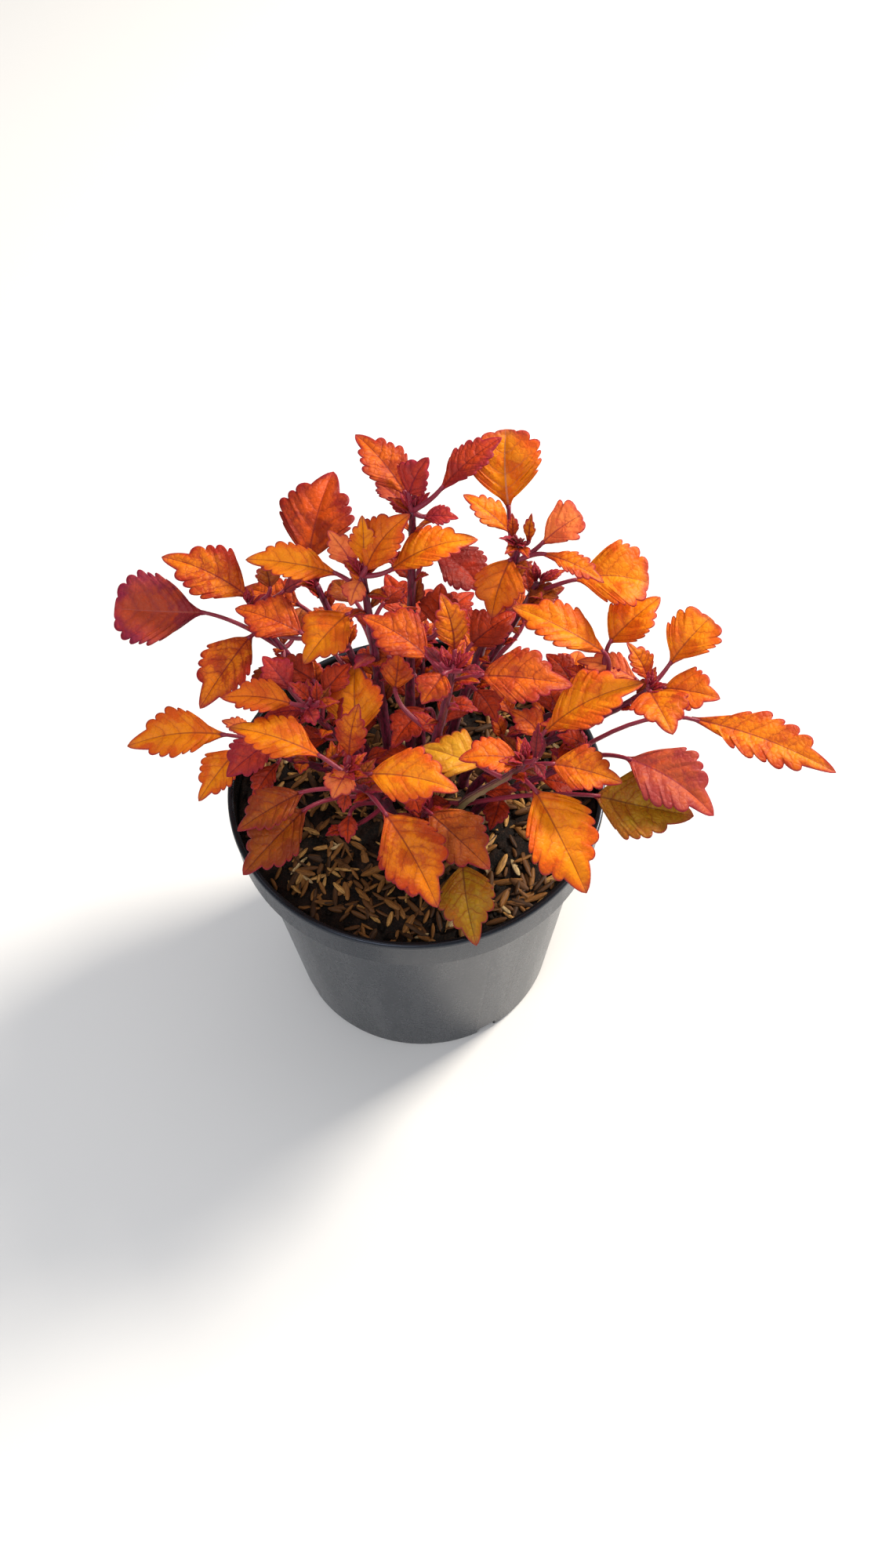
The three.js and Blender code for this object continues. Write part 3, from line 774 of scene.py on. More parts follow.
    def add_bits(self, litter: Batch, rng: random.Random) -> None:
        """Adds a few round pale bits."""
        for _ in range(self.bits):
            size = Vector((rng.uniform(2.4, 4.4), rng.uniform(2, 3.4), rng.uniform(1.4, 2.2)))
            spot = self.scatter(rng, 6.0)
            turn = Matrix.Rotation(ROUND * rng.random(), 4, "Z")
            self.husk(litter, Matrix.Translation(spot + 0.6 * AXIS_UP) @ turn, size, HuskTone.PALE, rng.random())

    def build(self) -> list[bpy.types.Object]:
        """Builds and dresses the fill with its crumbs, and the husks that lie on it."""
        rng = random.Random(self.seed)
        fill = Batch()
        fill.join(self.body())
        self.add_crumbs(fill, rng)
        litter = Batch(("grain",), ("tone",))
        self.add_husks(litter, rng)
        self.add_bits(litter, rng)
        return [
            finish("potting_mix_fill", fill.bm, [MixFinish().material()], "soil"),
            finish("rice_husks", litter.bm, [HuskFinish().material()]),
        ]


# ---------------------------------------------------------------- leafy stems


class Tint(Enum):
    """A blade's colours: its middle, its outer part and its veins."""

    GOLD = ("fc980e", "e45e0e", "a04820")
    AMBER = ("f68c0e", "c44412", "8e3420")
    YELLOW = ("ecb02c", "d4821c", "a05a22")
    ORANGE = ("ee7c10", "d85412", "8e3018")
    FLAME = ("e26a12", "b03416", "7e2018")
    CORAL = ("f88a44", "e4623c", "a83c3c")
    SCARLET = ("d4520a", "86180e", "922416")
    RED = ("cc4414", "9a2028", "84201e")
    ROSE = ("ca402c", "a22634", "7a1830")
    PINK = ("ca5c34", "a83c3a", "98303c")
    RUST = ("cc4214", "a02c18", "64141a")
    BROWN = ("a85410", "8c3616", "5c1c18")
    EMBER = ("ec800c", "b02812", "7c1a1a")
    COPPER = ("c2621a", "983c18", "64201a")
    WINE = ("bc4a2a", "8c243e", "b4584c")
    OLIVE = ("b4881a", "a46410", "70401a")
    MAGENTA = ("a03434", "742030", "541828")
    DEEP = ("a82e14", "7c1c1c", "8c2620")


@dataclass(frozen=True)
class Leaf:
    """A crown leaf: its base from the growing point, how it lies (degrees), its size and its look."""

    x: float
    y: float
    z: float
    turn: float
    rise: float
    length: float
    width: float
    tint: Tint
    arch: float = 0.1
    roll: float = 0.0
    pale_veins: bool = False
    blunt: bool = False


@dataclass(frozen=True)
class LowerLeaf:
    """A leaf lower down: its share of the way up the stem, its turn, its length and its colours."""

    share: float
    turn: float
    length: float
    tint: Tint = Tint.RUST


@dataclass(frozen=True)
class Shoot:
    """One stem: where it stands in the mix, its growing point and its leaves."""

    name: str
    foot: tuple[float, float]
    tip: tuple[float, float, float]
    leaves: list[Leaf]
    lower: list[LowerLeaf]
    pale_foot: float = 0.0
    bare_to: float = 0.0


@dataclass(frozen=True)
class Bezier:
    """A smooth curve from its first to its last control point."""

    controls: tuple[Vector, ...]

    def at(self, share: float) -> Vector:
        """Point at a share of the way."""
        points = list(self.controls)
        while len(points) > 1:
            points = [a.lerp(b, share) for a, b in zip(points, points[1:])]
        return points[0]

    def direction(self, share: float) -> Vector:
        """Unit direction of travel at a share of the way."""
        step = 1e-3
        return (self.at(min(1.0, share + step)) - self.at(max(0.0, share - step))).normalized()


@dataclass(frozen=True)
class RootedCurve(Bezier):
    """A stem's curve with a straight root below its foot."""

    root: Vector = field(default_factory=Vector)
    root_share: float = 0.08

    def at(self, share: float) -> Vector:
        """Point at a share of the way from the root's end."""
        if share < self.root_share:
            return self.root.lerp(self.controls[0], share / self.root_share)
        return super().at((share - self.root_share) / (1 - self.root_share))


def heading(turn: float, rise: float) -> Vector:
    """Unit direction at a compass angle from +X and an angle above level, in degrees."""
    flat = cos(radians(rise))
    return Vector((flat * cos(radians(turn)), flat * sin(radians(turn)), sin(radians(rise))))


@dataclass(frozen=True)
class Tube:
    """A tapering rod swept along a curve, from a capped cylinder cut into rings."""

    around: int
    rings: int
    squareness: float
    stalk: float

    def add(
        self,
        plant: Batch,
        path: Bezier,
        over: Vector,
        half: Callable[[float], float],
        seed: float,
        pale: Callable[[float], float] = lambda share: 0.0,
    ) -> None:
        """Adds the rod.

        Args:
            plant: the piece that it becomes part of.
            path: the curve it follows.
            over: the direction that its upper corner leans to.
            half: half the width across its corners at a share of the way.
            seed: a number that makes its pattern its own.
            pale: how much pale green its underside shows at a share of the way, 0 to 1, partly the skin's own colour
                and partly a painted reflection.
        """
        bm = plant.part()
        bmesh.ops.create_cone(bm, cap_ends=True, segments=self.around, radius1=1.0, radius2=1.0, depth=2.0)
        lengthwise = [e for e in bm.edges if abs(e.verts[0].co.z - e.verts[1].co.z) > 1]
        bmesh.ops.subdivide_edges(bm, edges=lengthwise, cuts=self.rings, use_grid_fill=True)
        blade = bm.verts.layers.float_vector["blade"]
        span = bm.verts.layers.float_vector["span"]
        leaf = bm.verts.layers.float_vector["leaf"]
        middle = bm.verts.layers.float_color["middle"]
        length = sum((path.at((i + 1) / 8) - path.at(i / 8)).length for i in range(8))
        power, skin = self.squareness, linear(PALE_SKIN_AND_REFLECTION)
        for vert in bm.verts:
            share = min(1.0, max(0.0, (vert.co.z + 1) / 2))
            angle = atan2(vert.co.y, vert.co.x)
            travel = path.direction(share)
            left = over.cross(travel).normalized()
            top = travel.cross(left)
            spread = (abs(cos(angle)) ** power + abs(sin(angle)) ** power) ** (1 / power)
            radius = half(share) / spread
            vert.co = path.at(share) + left * (radius * cos(angle)) + top * (radius * sin(angle))
            vert[blade] = (share, self.stalk, pale(share))
            vert[span] = (share * length, angle, 0.0)
            vert[leaf] = (seed, 0.0, 0.0)
            vert[middle] = skin
        for face in bm.faces:
            face.material_index = 1
        plant.join(bm)


class Outline(Enum):
    """A blade's outline: widest place, how base and tip narrow, first and last notch, tip's power, teeth's depth.

    The depth is a share of a tooth's length, and a power under 1 gives the tip bulging sides.
    """

    WEDGE = (0.48, 1.7, 1.7, 0.25, 0.79, 0.82, 0.42)
    OVATE = (0.43, 1.5, 1.9, 0.18, 0.77, 0.85, 0.42)
    BLUNT = (0.63, 1.9, 0.6, 0.36, 0.97, 0.5, 0.55)

    @staticmethod
    def suiting(ratio: float, blunt: bool) -> "Outline":
        """Chooses the outline of a blade by its width over its length and by whether its end is blunt."""
        if blunt:
            return Outline.BLUNT
        return Outline.WEDGE if ratio < 0.55 else Outline.OVATE


@dataclass(frozen=True)
class CrossLine:
    """A line from midrib to margin: both ends along the blade, its tooth, both halves' widths, and vein gaps there."""

    start: float
    end: float
    phase: float
    halves: tuple[float, float]
    gaps: tuple[float, float]


@dataclass
class Blade:
    """One toothed, quilted leaf blade."""

    base: Vector
    turn: float
    rise: float
    length: float
    width: float
    tint: Tint
    arch: float = 0.1
    roll: float = 0.0
    pale_veins: bool = False
    blunt: bool = False
    seed: float = 0.0
    thickness: float = 0.45
    fold: float = 14.0
    spread: float = 0.53
    toothing: float = 1.0
    deepest: float = 0.14
    dip: float = 0.88
    lean: float = 0.6
    hook: float = 0.2
    unevenness: float = 0.14
    tip_round: float = 0.08
    basal_teeth: float = 1.4
    vein_angle: float = 48.0
    curve_out: float = 1.2
    quilt: float = 0.036
    wave: float = 0.045
    base_half: float = 0.8
    blunt_tooth: float = 5.6
    blunt_deepest: float = 0.12
    blunt_hook: float = 0.3
    small: float = 16.0
    small_deepest: float = 0.09
    depth_variation: float = 0.25
    fold_round: float = 0.9
    curl: float = 0.04
    groove_depth: float = 0.22
    groove_half: float = 0.55
    sway: float = 0.035
    skew: float = 0.22
    rib_height: float = 0.45
    rib_half: float = 0.45
    side_rib_height: float = 0.12
    pale_vein: str = "e09a78"

    def __post_init__(self) -> None:
        """Works out the blade's directions and how many teeth it has."""
        self.along = heading(self.turn, self.rise)
        level = Vector((-sin(radians(self.turn)), cos(radians(self.turn)), 0))
        self.side = Matrix.Rotation(radians(self.roll), 3, self.along) @ level
        self.over = self.along.cross(self.side)
        self.bow = self.along.cross(level)
        outline = Outline.suiting(self.width / self.length, self.blunt)
        self.widest, self.base_power, self.tip_power = outline.value[:3]
        self.first_notch, self.last_notch, self.point, self.bite = outline.value[3:]
        self.teeth = next(teeth for least, teeth in TEETH if self.length >= least)
        if self.blunt:
            self.teeth = max(3, round(self.length / self.blunt_tooth))
            self.deepest, self.hook = self.blunt_deepest, self.blunt_hook
        elif self.length < self.small:
            self.deepest = self.small_deepest
        self.step = (self.last_notch - self.first_notch) / self.teeth

    def plain(self, share: float) -> float:
        """Half the blade's width at a share of its length, without teeth."""
        apart = share - self.widest
        room, power = (self.widest, self.base_power) if apart < 0 else (1 - self.widest, self.tip_power)
        return self.spread * self.width * max(0.0, 1 - (apart / room) ** 2) ** power

    def vary(self, number: int) -> float:
        """An uneven number from -1 to 1 of the blade's own."""
        return sin(97.3 * self.seed + 2.4 * number)

    def lobe(self, phase: float) -> float:
        """How far a tooth stands out at a place between its notches: it leans towards the tip."""
        return max(0.0, sin(pi * (phase % 1.0) ** (log(0.5) / log(self.lean)))) ** 0.5

    def half(self, edge: float, phase: float, flank: int) -> float:
        """Distance from the midrib to the margin, teeth included.

        Args:
            edge: place along the margin.
            phase: the tooth's number, and how far along the tooth.
            flank: 1 on the left, -1 on the right.

        Returns:
            The distance.
        """
        if phase < 0:
            return self.base_half * (1 - edge / self.first_notch) + self.plain(edge) * self.dip
        if phase >= self.teeth:
            rest = (1 - edge) / (1 - self.last_notch)
            rounding = self.tip_round * self.width * sqrt(rest) * (1 - rest)
            return max(0.12, self.plain(self.last_notch) * self.dip * rest**self.point + rounding)
        deep = self.toothing * min(self.bite * self.step * self.length, self.deepest * self.width)
        deep *= 1 + self.depth_variation * self.vary(int(phase) + 9 * flank)
        return self.plain(edge) * self.dip + deep * self.lobe(phase)

    def cross_lines(self, per_tooth: int) -> list[CrossLine]:
        """Lays the lines from midrib to margin along the side veins, closer together at the notches.

        Args:
            per_tooth: how many lines a tooth has.

        Returns:
            The lines, from the base to the tip.
        """
        ends = max(3, per_tooth - 1)
        notches = [self.first_notch + self.step * k for k in range(self.teeth + 1)]
        for k in range(1, self.teeth):
            notches[k] += self.unevenness * self.step * self.vary(k)
        places = [(self.first_notch * i / ends, self.basal_teeth * (i / ends - 1)) for i in range(ends)]
        for tooth, (start, end) in enumerate(zip(notches, notches[1:])):
            for i in range(per_tooth):
                even = i / per_tooth - 0.06 * sin(ROUND * i / per_tooth)
                places.append((start + (end - start) * even, tooth + even))
        last = self.last_notch
        places += [(last + (1 - last) * i / ends, self.teeth + i / ends) for i in range(ends + 1)]
        slant = 1 / (self.length * tan(radians(self.vein_angle)))
        starts = []
        for edge, _ in places:
            back = edge - slant * self.plain(edge)
            starts.append((back + sqrt(back * back + 0.04 * edge * edge * (1 - edge))) / 2)
        lines = []
        for i, (edge, phase) in enumerate(places):
            low, high = max(0, i - 1), min(len(places) - 1, i + 1)
            teeth = (places[high][1] - places[low][1]) / self.length
            gaps = ((starts[high] - starts[low]) / teeth, (places[high][0] - places[low][0]) / teeth)
            halves = (self.half(edge, phase, -1), self.half(edge, phase, 1))
            lines.append(CrossLine(starts[i], edge, phase, halves, gaps))
        return lines

    def lift(self, line: CrossLine, share: float, across: float, out: float) -> float:
        """Height of the blade's upper skin over its flat middle plane.

        Args:
            line: the cross line.
            share: place along the blade.
            across: place on the cross line, -1 to 1 from margin to margin.
            out: distance from the midrib.

        Returns:
            The height.
        """
        reach = abs(across)
        soft = self.fold_round
        folded = (sqrt(out * out + soft * soft) - soft) * tan(radians(self.fold))
        along = min(1.0, share / 0.15) * min(1.0, 4 * (1 - share))
        puff = abs(sin(pi * (line.phase - self.lean))) ** 0.8 * (1 - (1 - reach) ** 3) * (1 - 0.75 * reach**3)
        phase = 9.1 * self.seed + (2.3 if across > 0 else 0.0)
        ruffle = self.wave * reach**2 * sin(ROUND * (1.35 * share + phase)) * along
        curl = -self.curl * reach**4 * along
        groove = -self.groove_depth * exp(-((out / self.groove_half) ** 2)) * min(1.0, 5 * (1 - share))
        return folded + groove + self.width * (self.quilt * puff * along + ruffle + curl)

    def add(self, plant: Batch, per_tooth: int, rows: int) -> None:
        """Adds the blade as a closed skin.

        Args:
            plant: the piece that it becomes part of.
            per_tooth: cross lines for each tooth.
            rows: faces from margin to margin.
        """
        lines = self.cross_lines(per_tooth)
        columns = len(lines) - 1
        bm = plant.part()
        made = bmesh.ops.create_grid(bm, x_segments=columns, y_segments=rows, size=1.0)["verts"]
        layers = bm.verts.layers
        blade, span, leaf = (layers.float_vector[name] for name in ("blade", "span", "leaf"))
        colours = {layers.float_color["middle"]: linear(self.tint.value[0])}
        colours[layers.float_color["edge"]] = linear(self.tint.value[1])
        colours[layers.float_color["vein"]] = linear(self.pale_vein if self.pale_veins else self.tint.value[2])
        sway = self.sway * sin(ROUND * 5.3 * self.seed)
        depths: dict[tuple[float, ...], float] = {}
        for vert in made:
            line = lines[round((vert.co.x + 1) / 2 * columns)]
            across, reach = vert.co.y, abs(vert.co.y)
            half = line.halves[across > 0]
            share = line.start + (line.end - line.start) * reach**self.curve_out
            toothed = 0 <= line.phase < self.teeth
            ahead = self.hook * self.lobe(line.phase) * toothed * reach**4
            offset = self.skew * self.vary(0) * sin(pi * line.end) * reach * (1 if across > 0 else -1)
            share += self.step * (ahead + offset)
            out = across * half
            height = self.lift(line, share, across, out)
            bowed = 4 * share * (1 - share) * self.arch * self.length
            drift = sway * self.length * sin(pi * share)
            vert.co = self.base + self.along * (share * self.length) + self.bow * bowed
            vert.co += self.side * (out + drift) + self.over * height
            count = line.phase - self.lean
            apart = line.gaps[0] + (line.gaps[1] - line.gaps[0]) * reach
            vert[blade] = (share, across, count)
            vert[span] = (share * self.length, out, (1 - reach) * half)
            vert[leaf] = (self.seed, max(1.6, 0.75 * apart), 0.0)
            for layer, colour in colours.items():
                vert[layer] = colour
            rib = self.rib_height * exp(-((out / self.rib_half) ** 2)) * (1 - share)
            side_rib = self.side_rib_height * (1 - abs(sin(pi * count))) ** 5 * (1 - reach)
            thin = self.thickness * (1 - 0.4 * reach**3)
            depths[tuple(vert.co)] = thin + rib + side_rib
        grown = bmesh.ops.extrude_face_region(bm, geom=bm.faces[:])["geom"]
        for vert in [item for item in grown if isinstance(item, bmesh.types.BMVert)]:
            vert.co -= self.over * depths[tuple(vert.co)]
            vert[leaf] = (vert[leaf].x, vert[leaf].y, 1.0)
        plant.join(bm)


@dataclass(frozen=True)
class LeafyStem:
    """A square stem with stalks, blades and the small leaves at its nodes and growing point, grown as one."""

    shoot: Shoot
    number: int
    level: float = MIX_LEVEL
    ripple: float = MIX_RIPPLE
    depth: float = 12.0
    foot_half: float = 2.3
    tip_half: float = 1.2
    upright: float = 0.3
    sway: float = 0.25
    nodes: tuple[float, ...] = (0.3, 0.42, 0.54, 0.65, 0.75, 0.84, 0.92, 1.0)
    stalk_half: tuple[float, float] = (1.05, 0.75)
    slope: float = 0.5
    distance: float = 0.3
    swing: float = 0.35
    lower_stalk: float = 0.4
    lower_width: float = 0.66
    lower_rise: float = 30.0
    lower_hang: float = -12.0
    hair_count: int = 220
    hair_length: tuple[float, float] = (0.5, 1.1)
    hair_root: float = 0.06
    swell_reach: float = 0.014
    swell_height: float = 0.3
    large: float = 20.0

    def curve(self) -> Bezier:
        """The stem above the mix: upright at the foot, then out to the growing point and up again."""
        start = Vector((*self.shoot.foot, self.level + 2 * self.ripple))
        end = Vector(self.shoot.tip)
        span = end - start
        low = start + AXIS_UP * (self.upright * span.z)
        high = end - Vector((self.sway * span.x, self.sway * span.y, self.upright * span.z))
        return Bezier((start, low, high, end))

    def blades(self, curve: Bezier) -> list[Blade]:
        """Places the crown leaves, then the lower ones."""
        tip = Vector(self.shoot.tip)
        found = []
        for i, row in enumerate(self.shoot.leaves):
            base = tip + Vector((row.x, row.y, row.z))
            seed = (0.37 * i + 0.618 * self.number) % 1.0
            form = (row.turn, row.rise, row.length, row.width, row.tint, row.arch, row.roll)
            found.append(Blade(base, *form, pale_veins=row.pale_veins, blunt=row.blunt, seed=seed))
        for i, low in enumerate(self.shoot.lower):
            base = curve.at(low.share) + heading(low.turn, self.lower_rise) * (self.lower_stalk * low.length)
            width = self.lower_width * low.length
            seed = (0.53 * i + 0.618 * self.number + 0.11) % 1.0
            found.append(Blade(base, low.turn, self.lower_hang, low.length, width, low.tint, seed=seed))
        return found

    def stalk(self, curve: Bezier, blade: Blade) -> Bezier:
        """The leaf stalk, from the stem node that suits the blade best to the blade's base."""
        first = (blade.along + blade.bow * (4 * blade.arch)).normalized()
        end = blade.base

        def miss(node: float) -> float:
            """How badly a node suits the blade."""
            place = curve.at(node)
            reach = hypot(end.x - place.x, end.y - place.y)
            return abs(end.z - place.z - self.slope * reach) + self.distance * reach

        start = curve.at(min(self.nodes, key=miss))
        bend = end - first * (self.swing * (end - start).length)
        return Bezier((start, bend, end + first * (0.06 * blade.length)))

    def stem_half(self, share: float) -> float:
        """Half the stem's width across its corners, swollen a little at the nodes."""
        root = RootedCurve.root_share
        swell = sum(exp(-(((share - root) / (1 - root) - node) / self.swell_reach) ** 2) for node in self.nodes[:-1])
        return self.foot_half + (self.tip_half - self.foot_half) * share + self.swell_height * swell

    def buds(self, curve: Bezier, rng: random.Random) -> list[Blade]:
        """Makes the tiny leaves at the growing point and in pairs at the upper nodes."""
        found = []
        tip = curve.at(1.0)
        start = rng.uniform(0, 360)
        for i in range(10):
            size = rng.uniform(0.85, 1.1) * (10.5 - 0.8 * i)
            turn = start + 90 * i + 180 * (i // 2 % 2) + rng.uniform(-25, 25)
            rise = 22 + 7 * i + rng.uniform(-8, 8)
            tint = (Tint.FLAME, Tint.ROSE, Tint.ROSE, Tint.MAGENTA)[min(3, i // 2)]
            base = tip + heading(turn, 0) * 0.8 + AXIS_UP * (0.3 * i - 1.2)
            look = {"arch": 0.12, "seed": rng.random(), "base_half": 0.35, "toothing": 0.6}
            found.append(Blade(base, turn, rise, size, 0.42 * size, tint, **look))
        for i, node in enumerate(self.nodes[1:-1]):
            for flip in (0, 180) if node > self.shoot.bare_to else ():
                turn = start + 90 * i + flip + rng.uniform(-25, 25)
                size = rng.uniform(6.0, 12.5)
                base = curve.at(node) + heading(turn, 30) * 1.4
                tint = rng.choice((Tint.FLAME, Tint.RUST, Tint.COPPER, Tint.BROWN, Tint.WINE, Tint.ORANGE, Tint.EMBER))
                look = {"seed": rng.random(), "base_half": 0.45, "toothing": 0.7}
                found.append(Blade(base, turn, rng.uniform(15, 55), size, 0.55 * size, tint, **look))
        return found

    def add_hairs(self, plant: Batch, rooted: Bezier, rng: random.Random) -> None:
        """Sets short fine hairs around the stem, most of them near the growing point.

        Args:
            plant: the piece that they become part of.
            rooted: the stem's curve with its root.
            rng: where the chances come from.
        """
        bm = plant.part()
        for _ in range(self.hair_count):
            share = 1 - 0.75 * rng.random() ** 1.5
            travel = rooted.direction(share)
            out = Matrix.Rotation(ROUND * rng.random(), 3, travel) @ travel.orthogonal().normalized()
            length = rng.uniform(*self.hair_length)
            place = rooted.at(share) + out * (0.7 * self.stem_half(share) + 0.4 * length)
            turn = (out + 0.4 * travel).to_track_quat("Z", "Y").to_matrix().to_4x4()
            lie = Matrix.Translation(place) @ turn
            bmesh.ops.create_cone(
                bm, cap_ends=True, segments=3, radius1=self.hair_root, radius2=0.0, depth=length, matrix=lie
            )
        blade, middle = bm.verts.layers.float_vector["blade"], bm.verts.layers.float_color["middle"]
        skin = linear(PALE_SKIN_AND_REFLECTION)
        for vert in bm.verts:
            vert[blade] = (1.0, 1.0, 0.0)
            vert[middle] = skin
        for face in bm.faces:
            face.material_index = 1
        plant.join(bm)

    def build(self, finishes: list[bpy.types.Material]) -> bpy.types.Object:
        """Builds the stem with all it carries.

        Args:
            finishes: blade and stem materials.

        Returns:
            The finished piece, which replaces the stem's CAD node.
        """
        rng = random.Random(100 + self.number)
        plant = Batch(("blade", "span", "leaf"), ("middle", "edge", "vein"))
        curve = self.curve()
        foot = Vector((*self.shoot.foot, self.level - self.depth))
        rooted = RootedCurve(curve.controls, foot)
        pale = self.shoot.pale_foot
        Tube(around=16, rings=44, squareness=1.35, stalk=0.0).add(
            plant, rooted, Vector((0, 1, 0)), self.stem_half, self.number * 0.37, lambda share: pale * (1 - share)
        )
        wide, narrow = self.stalk_half
        for blade in self.blades(curve):
            per_tooth, rows = (8, 22) if blade.length > self.large else (7, 16)
            blade.add(plant, per_tooth, rows)
            Tube(around=8, rings=9, squareness=2.0, stalk=1.0).add(
                plant, self.stalk(curve, blade), blade.over, lambda share: wide + (narrow - wide) * share, blade.seed
            )
        for bud in self.buds(curve, rng):
            bud.add(plant, per_tooth=5, rows=6)
        self.add_hairs(plant, rooted, rng)
        name = "leafy_" + self.shoot.name
        return finish(name, plant.bm, finishes, "stem_" + self.shoot.name)


